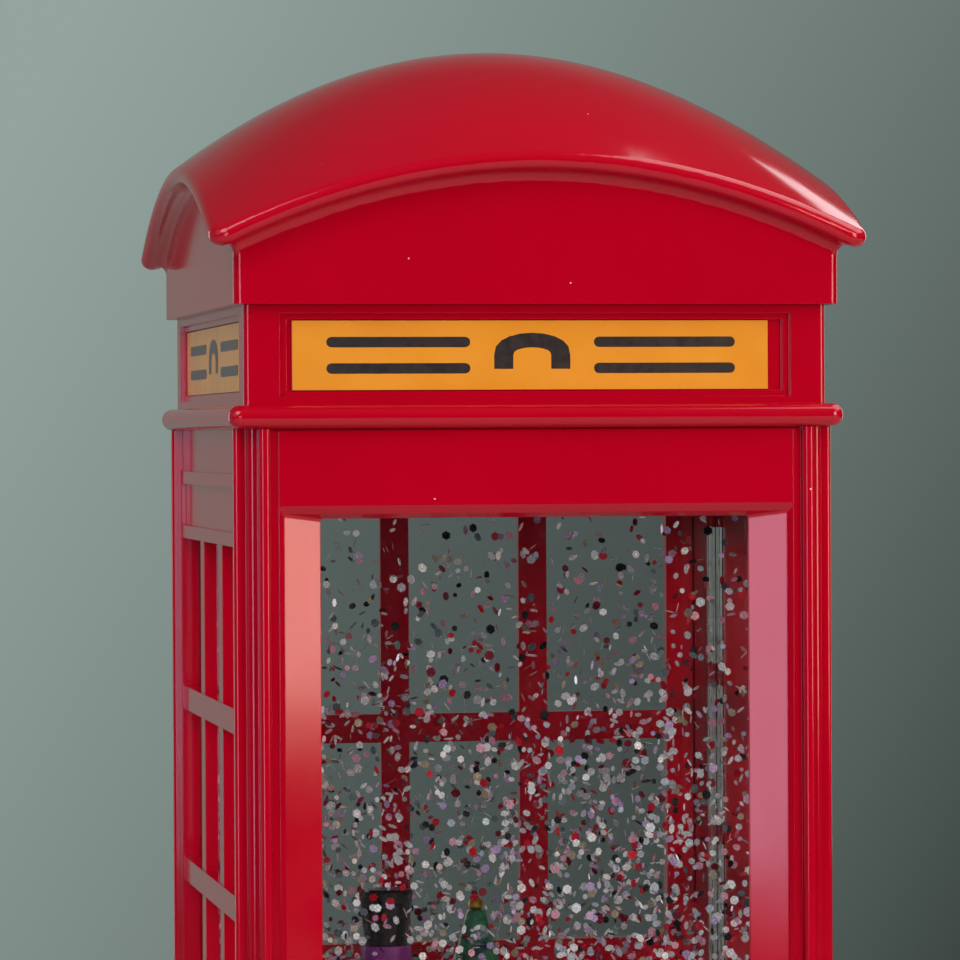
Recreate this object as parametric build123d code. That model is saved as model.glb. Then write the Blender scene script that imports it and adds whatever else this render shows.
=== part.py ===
from build123d import *
import math
import os

# Table-top glitter lantern in the shape of a telephone booth. Millimetres, +Z up, origin at the
# middle of the resting plane, front towards -Y. Every wall level is built up from the one below.

# ---- Heights, from the table up -------------------------------------------------------------
FOOT_H = 1.5  # rubber pads
PLINTH_H = 22.5  # stepped base moulding
SHELL_H = 180.9  # booth walls, plinth to belt
BEAD_H = 3.8  # half-round belt
FASCIA_H = 16.4  # sign band
FRIEZE_H = 7.0  # roof skirt, up to the corner of the eave
EAVE_T = 4.0  # thickness of the eave roll
EAVE_TOP_R, EAVE_UNDER_R = 1.8, 1.5
COVE_R = 2.0  # cove between eave and frieze
FRIEZE_EDGE_R = 1.2
ARCH_RISE = 13.3  # rise of the eave from corner to middle
CROWN_RISE = 20.6  # rise of the vault from the middle of an eave to the crown
VAULT_OVER = 1.04  # the vaulted sheet before it is trimmed, against the eave

# ---- Widths across the square plan ----------------------------------------------------------
WALL_W = 96.0  # over the plain walls and corner posts
RIB_PROUD = 2.0  # raised ribs, and what else stands out past the walls on each side
FASCIA_PROUD = 0.5
BEAD_PROUD = 3.2
FRIEZE_PROUD = 2.3
EAVE_OVER = 4.3  # eave past the frieze
PLINTH_PROUD = 6.0
PLINTH_TOP_PROUD = 3.5
TANK_GAP = 0.4  # between the tank and the walls

# ---- Walls and clearances -------------------------------------------------------------------
WALL_T = 2.6
ROOF_T = 2.6
FASCIA_T = 3.0
PLINTH_T = 2.4
TANK_T = 2.0
TANK_CORNER_R = 6.0
CLEAR = 0.2  # between parts of the fixed assembly
RUN_CLEAR = 0.05  # radial, round a turning pin or shaft
MOVE_CLEAR = 0.35  # round everything else that moves

# ---- Front, side and rear openings ----------------------------------------------------------
POST_EDGE_W = 1.8  # plain strip between a rib and the booth's corner
POST_EDGE_R = 1.0
RIB_W = 1.8
RIB_EDGE_R = 0.6
SILL_UP = 41.6  # sill of the front and side openings, above the shell's foot
FRONT_HEAD_DOWN = 14.7  # head of the front opening, below the belt
JAMB_W = 8.6  # from a rib to the front opening
FRONT_EDGE_W = 1.5  # lowered edge of the front frame beside a rib
FRONT_EDGE_D = 0.35
FRONT_REBATE = 2.2  # from a rib to the hole that the front frame plugs
FRONT_REBATE_UP, FRONT_REBATE_DOWN = 3.7, 4.0  # the same past the opening's head and sill
FRONT_FACE_SET = 1.2  # front frame's face behind the ribs
KICK_SIDE, KICK_FOOT, KICK_TOP, KICK_BORDER = 11.4, 7.0, 9.0, 2.5  # sunk panel under the opening
SPLAY_STEP = 1.0  # steep edge of the front opening, across
SPLAY_STEP_D = 0.9  # and in depth
SPLAY_D = 1.6  # depth of the shallow splay that follows it
GRILLE_PROUD = 0.9  # frame of a window grille, from the wall
GRILLE_BAR_PROUD = 0.2
GRILLE_DEEP = 2.0  # grille behind the wall's face
BAR_CLOSE = 0.95  # upright bars drawn in, so that the outer panes are a little wider
GRILLE_REBATE = 2.4  # from a rib to the hole that a grille plugs
GRILLE_REBATE_Z = 1.5  # and from the frame's top, with twice as much at its foot
SIDE_FRAME_DOWN = 7.4  # top of a side grille's frame, below the belt
RAIL_H = 2.3
PANEL_H = 7.4  # closed panel between the two top rails
STILE_W = 5.8
SIDE_BAR_W, SIDE_BAR_H = 5.2, 4.2
SIDE_ROWS, SIDE_COLUMNS = 4, 3
REAR_FRAME_DOWN = 10.0
REAR_BAR_W, REAR_BAR_H = 5.1, 5.1
REAR_STILE_W = 7.3
REAR_RAIL_H = 5.1
REAR_ROWS, REAR_COLUMNS = 3, 3
REAR_SILL_UP = 48.0
BOTTOM_RAIL_H = 4.6

# ---- Sign band ------------------------------------------------------------------------------
SIGN_SIDE, SIGN_EDGE = 5.95, 1.35  # fascia left beside, and above and below, the sign's recess
SIGN_STEP_D, SIGN_STEP_W, SIGN_STEP_H = 0.8, 1.2, 1.0
SIGN_FLOOR_D = 1.5
SIGN_GAP_W, SIGN_GAP_H = 1.7, 0.2  # between the sign and its recess
SIGN_T = 0.5
SIGN_SHIFT = -0.75  # the signs are glued a little off centre
SIGN_DROP = 0.1

# ---- Mechanism ------------------------------------------------------------------------------
PLATE_T = 3.0  # base plate
DECK_T = 2.5
DECK_UP = 20.0  # deck's underside, above the shell's foot
TANK_BASE_UP = 32.0  # tank closure's underside, above the shell's foot
TANK_BASE_T = 3.0
TANK_HEADROOM = 1.0  # between the tank and the ceiling of the sign band
SEAL_W, SEAL_H = 1.4, 2.0
PLUG_H, PLUG_T = 4.5, 3.0  # raised rim of the closure
CELL_R, CELL_L = 7.1, 50.2  # AA cell
CELL_GAP = 0.8
CELLS = 3
SPRING_L = 4.6  # leaf spring, as squeezed by its cell
SPRING_W, SPRING_SPAN, SPRING_T = 5.0, 10.0, 0.3
CONTACT_T = 0.4
BOX_T = 1.6
DOOR_T = 2.0
DOOR_KNUCKLE_R = 1.5
DOOR_PIN_R, DOOR_PIN_L = 1.0, 2.4
DOOR_SCREW_IN = 2.6  # door screw from the door's free end
MOTOR_R, MOTOR_H = 12.2, 12.3
SHAFT_R = 1.0
ROTOR_R, ROTOR_H = 15.0, 4.0
MAGNET_R, MAGNET_H = 4.0, 2.4
MAGNET_OUT = 8.5  # magnet's axis from the spindle
IMPELLER_R = 14.0
DISC_H = 3.2
BLADE_H, BLADE_T = 4.0, 1.4
BLADES = 6
WELL_R, WELL_H = 16.5, 9.6
DRIVE_GAP = 1.5  # rotor under the tank's closure
FLOAT_GAP = 0.6  # impeller over the closure
PIN_R = 1.0
FILL_R, FILL_IN = 4.0, 10.0  # fill hole, and its axis from the tank's inner wall
SCREW_R, SCREW_HEAD_R, SCREW_HEAD_H = 1.4, 2.7, 1.8
SCREW_CLEAR = 0.15  # round a screw that passes through
SCREW_BITE = 6.5  # base screws into the shell's posts
POST_R = 4.0
POST_IN = 9.4  # screw posts, from the inside of the walls
LEG_R = 3.5
FOOT_R, FOOT_SINK = 5.5, 0.6
FOOT_IN = 10.0  # pads, from the plinth's faces
BOARD_T = 1.6
BOARD_UP = 10.0  # circuit board above the shell's foot
BOARD_POST_X, BOARD_POST_R, BOARD_SCREW_R = 10.0, 2.6, 0.9
PORT_IN = 12.0  # switch and power socket, from the ends of the circuit board
SWITCH_W, SWITCH_D, SWITCH_H = 13.0, 6.0, 5.5
SWITCH_STEP = 2.0  # travel each way: off, steady, timer
KNOB_W, KNOB_H = 3.6, 2.6
USB_W, USB_D, USB_H, USB_T = 9.0, 7.4, 3.3, 0.4

# ---- Scene in the tank ----------------------------------------------------------------------
MOUND_H = 13.0  # snow ground over the closure, at its crest
RIM_H = 2.5
SNOWMAN_X, SNOWMAN_Y = -20.8, -8.0
SNOWMAN_TOP = 60.8  # crown of the hat above the snow ground's rim
BODY_R, HEAD_R = 14.0, 8.6
HAT_H, HAT_R, HAT_NECK_R, HAT_BRIM_R = 9.6, 4.7, 3.5, 6.8
BAND_H, BRIM_T = 2.4, 1.3
TREE_X, TREE_Y = -1.6, 20.0
TREE_H, TREE_R, TREE_TIERS, TREE_SIDES = 55.6, 13.0, 5, 9
TIP_R = 1.3
GROUND_HILLS = (  # place, radius and height over the rim's foot
    (SNOWMAN_X, SNOWMAN_Y, 26.0, 9.0),
    (TREE_X, TREE_Y, 30.0, 9.0),
    (27.0, -2.0, 28.0, 7.0),
)

# ---- Levels and faces that follow -----------------------------------------------------------
Z_PLINTH = FOOT_H
Z_SHELL = Z_PLINTH + PLINTH_H
Z_BELT = Z_SHELL + SHELL_H
Z_FASCIA = Z_BELT + BEAD_H
Z_FRIEZE = Z_FASCIA + FASCIA_H
Z_EAVE = Z_FRIEZE + FRIEZE_H
Z_TOP = Z_EAVE + EAVE_T + ARCH_RISE + CROWN_RISE
WALL = WALL_W / 2
INNER = WALL - WALL_T
RIB_FACE = WALL + RIB_PROUD
RIB_OUT = WALL - POST_EDGE_W
RIB_IN = RIB_OUT - RIB_W
FASCIA = WALL + FASCIA_PROUD
BEAD = WALL + BEAD_PROUD
FRIEZE = WALL + FRIEZE_PROUD
EAVE = FRIEZE + EAVE_OVER
PLINTH = WALL + PLINTH_PROUD
PLINTH_TOP = WALL + PLINTH_TOP_PROUD
TANK = INNER - TANK_GAP
FRONT_HOLE = RIB_IN - FRONT_REBATE
GRILLE_HOLE = RIB_IN - GRILLE_REBATE
Z_FRONT_HEAD = Z_BELT - FRONT_HEAD_DOWN
Z_SIGN = (Z_FASCIA + Z_FRIEZE) / 2 - SIGN_DROP
Z_SILL = Z_SHELL + SILL_UP
Z_DECK = Z_SHELL + DECK_UP
Z_DECK_TOP = Z_DECK + DECK_T
Z_TANK_BASE = Z_SHELL + TANK_BASE_UP
Z_CLOSURE = Z_TANK_BASE + TANK_BASE_T
Z_PLATE_TOP = Z_PLINTH + PLATE_T
CEILING_T = 2.0
Z_TANK_TOP = Z_BELT - TANK_HEADROOM
Z_BOARD = Z_SHELL + BOARD_UP
CAVITY = TANK - TANK_T
TANK_ROOM_R = TANK_CORNER_R - TANK_T
POST_OUT = INNER - POST_IN
FOOT_OUT = PLINTH - FOOT_IN
BOARD_HALF = POST_OUT - POST_R - 2.0
SWITCH_X, USB_X = PORT_IN - BOARD_HALF, BOARD_HALF - PORT_IN
CELL_PITCH = 2 * CELL_R + CELL_GAP
BOX_W = CELLS * CELL_PITCH + 2 * BOX_T + 2 * CLEAR
BAY_L = CELL_L + SPRING_L
BOX_L = BAY_L + 2 * (CONTACT_T + BOX_T)
DOOR_L = BOX_L + 2.0
BOX_H = 2 * CELL_R + BOX_T + 2.0
Z_BOX_TOP = Z_PLATE_TOP + BOX_H
BOARD_POST_Y = BOX_L / 2 - 3.2
CELL_Z = Z_PLATE_TOP + CELL_R + 0.6
DOOR_Y0 = -DOOR_L / 2  # hinge axis
DOOR_Z = Z_PLINTH + DOOR_KNUCKLE_R
DOOR_W = BOX_W - 2 * BOX_T
DOOR_SCREW_Y = DOOR_L / 2 - DOOR_SCREW_IN
Z_ROTOR = Z_TANK_BASE - DRIVE_GAP - ROTOR_H
Z_IMPELLER = Z_CLOSURE + FLOAT_GAP
Z_BLADE_TOP = Z_IMPELLER + DISC_H + BLADE_H
SWITCH_Y = INNER - 0.8 - SWITCH_D
SWITCH_Z = Z_BOARD + BOARD_T
FILL_Y = FILL_IN - CAVITY
Z_GROUND = Z_CLOSURE + PLUG_H
Z_RIM = Z_GROUND + RIM_H
Z_HAT_TOP = Z_RIM + SNOWMAN_TOP
Z_BRIM = Z_HAT_TOP - HAT_H - BAND_H - BRIM_T
Z_HEAD = Z_BRIM - HEAD_R * 0.86
Z_BODY = Z_HEAD - HEAD_R * 0.6 - BODY_R * 0.86


def block(x0, x1, y0, y1, z0, z1):
    """Box between two corners."""
    centre = ((x0 + x1) / 2, (y0 + y1) / 2, (z0 + z1) / 2)
    return Pos(*centre) * Box(abs(x1 - x0), abs(y1 - y0), abs(z1 - z0))


def square_bar(half, z0, z1, corner=0.0):
    """Upright bar on the axis with a square section."""
    bar = block(-half, half, -half, half, z0, z1)
    if corner:
        bar = fillet(bar.edges().filter_by(Axis.Z), corner)
    return bar


def rod(x, y, radius, z0, z1, top=None):
    """Upright cylinder, or a cone when the radius at its top is given."""
    middle = Pos(x, y, (z0 + z1) / 2)
    if top is None:
        return middle * Cylinder(radius, z1 - z0)
    return middle * Cone(radius, top, z1 - z0)


def each_side(piece, sides=(0, 1, 2, 3)):
    """Copies of a piece made on the front wall, turned to the walls asked for."""
    return [Rot(0, 0, 90 * side) * piece for side in sides]


def corners(out):
    """The four places at one distance from the axis in X and Y."""
    return [(x, y) for x in (-out, out) for y in (-out, out)]


def ring_of(radius, count, start=0.0):
    """Evenly spaced places on a circle about the axis."""
    angles = [start + 2 * math.pi * i / count for i in range(count)]
    return [(radius * math.cos(a), radius * math.sin(a)) for a in angles]


def joined(pieces):
    """Union of a list of solids."""
    result = pieces[0]
    for piece in pieces[1:]:
        result = result + piece
    return result


def less(body, pieces):
    """A body with a list of solids cut away."""
    for piece in pieces:
        body = body - piece
    return body


def save(name, shape):
    """Writes one node; a node of several loose solids is a compound."""
    solids = list(shape.solids())
    whole = solids[0] if len(solids) == 1 else Compound(children=solids)
    export_step(whole, f"parts/{name}.step")


def screws(places, z_head, length):
    """Pan-head screws driven upwards, heads down."""
    made = []
    for x, y in places:
        head = rod(x, y, SCREW_HEAD_R, z_head, z_head + SCREW_HEAD_H)
        shank = rod(x, y, SCREW_R, z_head + SCREW_HEAD_H, z_head + SCREW_HEAD_H + length)
        slot = block(x - 1.7, x + 1.7, y - 0.3, y + 0.3, z_head, z_head + 0.8)
        cross = block(x - 0.3, x + 0.3, y - 1.7, y + 1.7, z_head, z_head + 0.8)
        made.append(head + shank - slot - cross)
    return Compound(children=made)


# ---- Roof -----------------------------------------------------------------------------------
def vault(drop):
    """Vaulted sheet over the plan, arched along all four eaves, lowered by a distance."""
    half = EAVE * VAULT_OVER
    share = VAULT_OVER**2
    square = (share, -share, share)
    flat = CROWN_RISE - ARCH_RISE
    points = []
    for i, u in enumerate(square):
        row = []
        for j, v in enumerate(square):
            height = Z_TOP - drop - CROWN_RISE * (u + v) + flat * u * v
            row.append((half * (i - 1), half * (j - 1), height))
        points.append(row)
    return Face.make_bezier_surface(points)


def under_vault(drop, depth):
    """Solid between the lowered vault and its copy further down."""
    return Solid.extrude(vault(drop), Vector(0, 0, -depth))


def make_roof():
    slab = (under_vault(0, EAVE_T) & square_bar(EAVE, Z_FRIEZE, Z_TOP + 1, 3.0)).solid()
    top = slab.faces().sort_by(SortBy.AREA)[-2:].sort_by(Axis.Z)[-1]
    slab = fillet(top.edges(), EAVE_TOP_R)
    under = slab.faces().sort_by(SortBy.AREA)[-2:].sort_by(Axis.Z)[0]
    slab = fillet(under.edges(), EAVE_UNDER_R)
    deep = Z_TOP - Z_FRIEZE + CROWN_RISE
    skirt = square_bar(FRIEZE, Z_FRIEZE, Z_TOP, FRIEZE_EDGE_R) & under_vault(EAVE_T / 2, deep)
    body = slab + skirt
    coves = []
    for edge in body.edges():
        middle = edge.center()
        out = max(abs(middle.X), abs(middle.Y))
        curved = edge.geom_type != GeomType.LINE and middle.Z > Z_EAVE
        if curved and abs(out - FRIEZE) < FRIEZE_EDGE_R / 2:
            coves.append(edge)
    body = fillet(coves, COVE_R)
    hollow = square_bar(FRIEZE - ROOF_T, Z_FRIEZE - 1, Z_TOP, 1.0) & under_vault(ROOF_T + 0.4, deep)
    body = body - hollow
    posts = []
    for x, y in corners(POST_OUT):
        post = rod(x, y, POST_R, Z_FRIEZE + 0.5, Z_TOP) & under_vault(EAVE_T / 2, deep)
        posts.append(post - rod(x, y, SCREW_R, Z_FRIEZE - 1, Z_FRIEZE + 8))
    return joined([body] + posts)


# ---- Sign band ------------------------------------------------------------------------------
def make_sign_band():
    half = FASCIA
    bead = square_bar(BEAD, Z_BELT, Z_FASCIA, 2.0)
    bead = fillet(bead.edges().filter_by(Axis.Z, reverse=True), BEAD_H / 2 - 0.05)
    band = square_bar(half, Z_BELT, Z_FRIEZE, 0.8)
    spigot = square_bar(FRIEZE - ROOF_T - CLEAR, Z_FRIEZE - 1, Z_FRIEZE + 4, 0.8)
    body = bead + band + spigot
    body = body - square_bar(half - FASCIA_T, Z_BELT + CEILING_T, Z_FRIEZE + 5, 1.0)
    wide, high = FASCIA - SIGN_SIDE, FASCIA_H / 2 - SIGN_EDGE
    step = block(-wide, wide, -half - 1, -half + SIGN_STEP_D, Z_SIGN - high, Z_SIGN + high)
    wide, high = wide - SIGN_STEP_W, high - SIGN_STEP_H
    floor = block(-wide, wide, -half - 1, -half + SIGN_FLOOR_D, Z_SIGN - high, Z_SIGN + high)
    body = less(body, each_side(step) + each_side(floor))
    tabs = []
    for x, y in corners(POST_OUT):
        tab = rod(x, y, POST_R, Z_BELT + CEILING_T - 0.5, Z_FRIEZE + 0.5 - CLEAR)
        tabs.append(tab)
    body = joined([body] + tabs)
    holes = []
    for x, y in corners(POST_OUT):
        holes.append(rod(x, y, SCREW_R + SCREW_CLEAR, Z_BELT - 1, Z_FRIEZE + 1))
        holes.append(rod(x, y, SCREW_HEAD_R + 0.2, Z_BELT - 1, Z_FRIEZE - 6.0))
    body = less(body, holes)
    tongue = square_bar(INNER - CLEAR, Z_BELT - 0.8, Z_BELT + 0.5, 0.6)
    tongue = tongue - square_bar(INNER - CLEAR - 1.2, Z_BELT - 2, Z_BELT + 1, 0.3)
    return body + tongue


def make_sign():
    wide = FASCIA - SIGN_SIDE - SIGN_STEP_W - SIGN_GAP_W
    high = FASCIA_H / 2 - SIGN_EDGE - SIGN_STEP_H - SIGN_GAP_H
    back = -FASCIA + SIGN_FLOOR_D
    return block(SIGN_SHIFT - wide, SIGN_SHIFT + wide, back - SIGN_T, back, Z_SIGN - high, Z_SIGN + high)


# ---- Booth shell ----------------------------------------------------------------------------
def make_shell():
    body = square_bar(WALL, Z_SHELL, Z_BELT, POST_EDGE_R)
    rib = block(RIB_IN, RIB_OUT, -RIB_FACE, -WALL + 0.5, Z_SHELL, Z_BELT)
    tips = [e for e in rib.edges().filter_by(Axis.Z) if e.center().Y < -WALL]
    rib = fillet(tips, RIB_EDGE_R)
    ribs = each_side(rib) + each_side(mirror(rib, Plane.YZ))
    body = joined([body] + ribs)
    body = body - square_bar(INNER, Z_SHELL - 1, Z_BELT + 1, 0.6)
    through = WALL - INNER + 2
    foot, head = Z_SILL - FRONT_REBATE_DOWN, Z_FRONT_HEAD + FRONT_REBATE_UP
    front = block(-FRONT_HOLE, FRONT_HOLE, -WALL - 1, -WALL + through, foot, head)
    foot, head = Z_SILL - 2 * GRILLE_REBATE_Z, Z_BELT - SIDE_FRAME_DOWN - GRILLE_REBATE_Z
    side = block(-GRILLE_HOLE, GRILLE_HOLE, -WALL - 1, -WALL + through, foot, head)
    foot = Z_SHELL + REAR_SILL_UP - 2 * GRILLE_REBATE_Z
    head = Z_BELT - REAR_FRAME_DOWN - GRILLE_REBATE_Z
    rear = block(-GRILLE_HOLE, GRILLE_HOLE, -WALL - 1, -WALL + through, foot, head)
    body = less(body, [front] + each_side(side, (1, 3)) + each_side(rear, (2,)))
    z_port = Z_BOARD + BOARD_T
    slot_w = KNOB_W / 2 + SWITCH_STEP + 1.0
    slot_h = KNOB_H / 2 + 0.6
    z_knob = z_port + SWITCH_H / 2
    left, right = SWITCH_X - slot_w, SWITCH_X + slot_w
    slot = block(left, right, INNER - 1, RIB_FACE, z_knob - slot_h, z_knob + slot_h)
    z_usb = z_port + USB_H / 2
    left, right = USB_X - USB_W / 2 - 0.4, USB_X + USB_W / 2 + 0.4
    port = block(left, right, INNER - 1, RIB_FACE, z_usb - 2.1, z_usb + 2.1)
    port = fillet(port.edges().filter_by(Axis.Y), 1.6)
    body = body - slot - port
    posts = []
    for x, y in corners(POST_OUT):
        post = rod(x, y, POST_R, Z_DECK_TOP, Z_TANK_BASE - 0.5)
        sx, sy = math.copysign(1, x), math.copysign(1, y)
        web_x = block(x, sx * (INNER + 0.5), y - 1, y + 1, Z_DECK_TOP, Z_TANK_BASE - 0.5)
        web_y = block(x - 1, x + 1, y, sy * (INNER + 0.5), Z_DECK_TOP, Z_TANK_BASE - 0.5)
        bore = rod(x, y, SCREW_R, Z_DECK_TOP - 1, Z_TANK_BASE - 2.5)
        posts.append(post + web_x + web_y - bore)
    return joined([body] + posts)


def make_front_frame():
    """Front panel moulding: lintel, jambs and kick panel round one big splayed opening."""
    face = -RIB_FACE + FRONT_FACE_SET
    half = RIB_IN - 0.1
    z_head = Z_FRONT_HEAD
    plate = block(-half, half, face, -WALL, Z_SHELL + 0.3, Z_BELT - 0.3)
    fit = FRONT_HOLE - CLEAR
    foot, head = Z_SILL - FRONT_REBATE_DOWN + CLEAR, z_head + FRONT_REBATE_UP - CLEAR
    plug = block(-fit, fit, -WALL - 0.1, -INNER - 0.2, foot, head)
    body = plate + plug
    groove_w = RIB_IN - FRONT_EDGE_W
    sides = block(groove_w, half + 1, face - 1, face + FRONT_EDGE_D, Z_SHELL, Z_BELT)
    body = less(body, [sides, mirror(sides, Plane.YZ)])
    inner = RIB_IN - JAMB_W
    step = groove_w - SPLAY_STEP
    levels = [
        (face, groove_w, z_head + 2.1, Z_SILL - 2.6),
        (face + SPLAY_STEP_D, step, z_head + 0.8, Z_SILL - 1.4),
        (face + SPLAY_STEP_D + SPLAY_D, inner, z_head, Z_SILL),
    ]

    def outline(level):
        depth, wide, top, bottom = level
        plane = Plane(origin=(0, depth, (top + bottom) / 2), x_dir=(1, 0, 0), z_dir=(0, -1, 0))
        return plane * RectangleRounded(2 * wide, top - bottom, 0.6)

    cuts = [loft([outline(a), outline(b)]) for a, b in zip(levels, levels[1:])]
    cuts.append(extrude(outline(levels[-1]), amount=6, dir=(0, 1, 0)))
    cuts.append(extrude(outline(levels[0]), amount=1, dir=(0, -1, 0)))
    body = less(body, cuts)
    wide, foot, top = RIB_IN - KICK_SIDE, Z_SHELL + KICK_FOOT, Z_SILL - KICK_TOP
    panel = block(-wide, wide, face - 0.1, face + 0.6, foot, top)
    wide = wide - KICK_BORDER
    bevel = block(-wide, wide, face, face + 0.65, foot + KICK_BORDER, top - KICK_BORDER)
    bevel = chamfer(bevel.faces().sort_by(Axis.Y)[0].edges(), 0.5)
    return body - (panel - bevel)


def make_grille(top_down, sill_up, rows, columns, bar_w, bar_h, stile, rail, closed_panel):
    """Window grille on the front wall's place: frame, bars and, on the sides, a closed panel on top."""
    half = RIB_IN - 0.1
    z_top = Z_BELT - top_down
    z_foot = Z_SHELL + sill_up - BOTTOM_RAIL_H
    face, bar_face, back = -WALL - GRILLE_PROUD, -WALL - GRILLE_BAR_PROUD, -WALL + GRILLE_DEEP
    z_open_top = z_top - rail
    if closed_panel:
        z_open_top = z_top - RAIL_H - PANEL_H - RAIL_H
    z_open = z_foot + BOTTOM_RAIL_H
    flange = block(-half, half, face, -WALL, z_foot, z_top)
    fit = GRILLE_HOLE - CLEAR
    plug_foot = z_foot + BOTTOM_RAIL_H - 2 * GRILLE_REBATE_Z + CLEAR
    plug = block(-fit, fit, -WALL - 0.1, back, plug_foot, z_top - GRILLE_REBATE_Z - CLEAR)
    body = flange + plug
    inner = half + 0.1 - stile
    body = body - block(-inner, inner, face - 1, back + 1, z_open, z_open_top)
    if closed_panel:
        low, high = z_open_top + RAIL_H, z_top - RAIL_H
        body = body - block(-inner, inner, face - 1, -WALL - 0.1, low, high)
    bars = []
    pitch = (2 * inner + bar_w) / columns
    for i in range(1, columns):
        x = (i - columns / 2) * pitch * BAR_CLOSE
        bars.append(block(x - bar_w / 2, x + bar_w / 2, bar_face, back, z_open - 0.5, z_open_top + 0.5))
    pitch = (z_open_top - z_open + bar_h) / rows
    for i in range(1, rows):
        z = z_open_top + bar_h / 2 - i * pitch
        bars.append(block(-inner - 0.5, inner + 0.5, bar_face - 0.35, back, z - bar_h / 2, z + bar_h / 2))
    return joined([body] + bars)


def make_side_grille():
    return make_grille(
        SIDE_FRAME_DOWN, SILL_UP, SIDE_ROWS, SIDE_COLUMNS, SIDE_BAR_W, SIDE_BAR_H, STILE_W, RAIL_H, True
    )


def make_rear_grille():
    return make_grille(
        REAR_FRAME_DOWN,
        REAR_SILL_UP,
        REAR_ROWS,
        REAR_COLUMNS,
        REAR_BAR_W,
        REAR_BAR_H,
        REAR_STILE_W,
        REAR_RAIL_H,
        False,
    )


# ---- Plinth, base plate and battery bay -----------------------------------------------------
def make_plinth():
    half = PLINTH
    step_z = Z_SHELL - 5.0
    low = square_bar(half, Z_PLINTH, step_z, 2.0)
    low = chamfer(low.faces().sort_by(Axis.Z)[-1].edges(), 1.2)
    high = square_bar(PLINTH_TOP, step_z - 0.5, Z_SHELL, 1.2)
    high = fillet(high.faces().sort_by(Axis.Z)[-1].edges(), 1.2)
    body = low + high
    body = body - square_bar(half - PLINTH_T, Z_PLINTH - 1, step_z - PLINTH_T, 1.0)
    body = body - square_bar(INNER - 1.5, Z_PLINTH, Z_SHELL + 1, 0.8)
    ledge = square_bar(half - PLINTH_T + 0.5, Z_PLATE_TOP, Z_PLATE_TOP + 2, 1.0)
    ledge = ledge - square_bar(half - PLINTH_T - 2.0, Z_PLINTH, Z_SHELL, 1.0)
    upstand = square_bar(INNER - CLEAR, Z_SHELL - 1, Z_SHELL + 4, 0.5)
    upstand = upstand - square_bar(INNER - 1.5, Z_PLINTH, Z_SHELL + 5, 0.8)
    return body + ledge + upstand


def make_base_plate():
    half = PLINTH - PLINTH_T - CLEAR
    body = square_bar(half, Z_PLINTH, Z_PLATE_TOP, 1.0)
    wide = DOOR_W / 2 + MOVE_CLEAR
    low = DOOR_Y0 - DOOR_KNUCKLE_R - MOVE_CLEAR
    body = body - block(-wide, wide, low, DOOR_L / 2 + MOVE_CLEAR, Z_PLINTH - 1, Z_PLATE_TOP + 1)
    tongue = block(-5, 5, DOOR_L / 2 - 5, DOOR_L / 2 + 1, Z_PLINTH + DOOR_T + CLEAR, Z_PLATE_TOP)
    body = body + tongue
    body = body - rod(0, DOOR_SCREW_Y, 1.0, Z_PLINTH, Z_PLATE_TOP + 1)
    pin_half = DOOR_W / 2 + DOOR_PIN_L
    holes = Pos(0, DOOR_Y0, DOOR_Z) * Rot(0, 90, 0) * Cylinder(DOOR_PIN_R + RUN_CLEAR, 2 * pin_half + 0.4)
    body = body - holes
    for x, y in corners(FOOT_OUT):
        body = body - rod(x, y, FOOT_R + 0.1, Z_PLINTH - 1, Z_PLINTH + FOOT_SINK)
    for x, y in corners(POST_OUT):
        body = body - rod(x, y, SCREW_R + SCREW_CLEAR, Z_PLINTH - 1, Z_PLATE_TOP + 1)
        body = body - rod(x, y, SCREW_HEAD_R + 0.2, Z_PLINTH - 1, Z_PLINTH + SCREW_HEAD_H + 0.1)
    return body


def make_battery_door():
    wide = DOOR_W / 2
    plate = block(-wide, wide, DOOR_Y0, DOOR_L / 2, Z_PLINTH, Z_PLINTH + DOOR_T)
    knuckle = Pos(0, DOOR_Y0, DOOR_Z) * Rot(0, 90, 0) * Cylinder(DOOR_KNUCKLE_R, 2 * wide)
    pins = Pos(0, DOOR_Y0, DOOR_Z) * Rot(0, 90, 0) * Cylinder(DOOR_PIN_R, 2 * wide + 2 * DOOR_PIN_L)
    body = plate + knuckle + pins
    grips = [block(-9, 9, y - 0.5, y + 0.5, Z_PLINTH - 1, Z_PLINTH + 0.5) for y in (14, 17, 20)]
    body = less(body, grips)
    body = body - rod(0, DOOR_SCREW_Y, SCREW_R + SCREW_CLEAR, Z_PLINTH - 1, Z_PLINTH + 4)
    return body - rod(0, DOOR_SCREW_Y, 2.0, 0, Z_PLINTH + 1.0)


def make_door_screw():
    y = DOOR_SCREW_Y
    head = rod(0, y, 1.8, Z_PLINTH + 0.1, Z_PLINTH + 1.0)
    shank = rod(0, y, 0.9, Z_PLINTH + 1.0, Z_PLATE_TOP - 0.2)
    return head + shank - block(-1.2, 1.2, y - 0.3, y + 0.3, Z_PLINTH, Z_PLINTH + 0.5)


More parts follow.
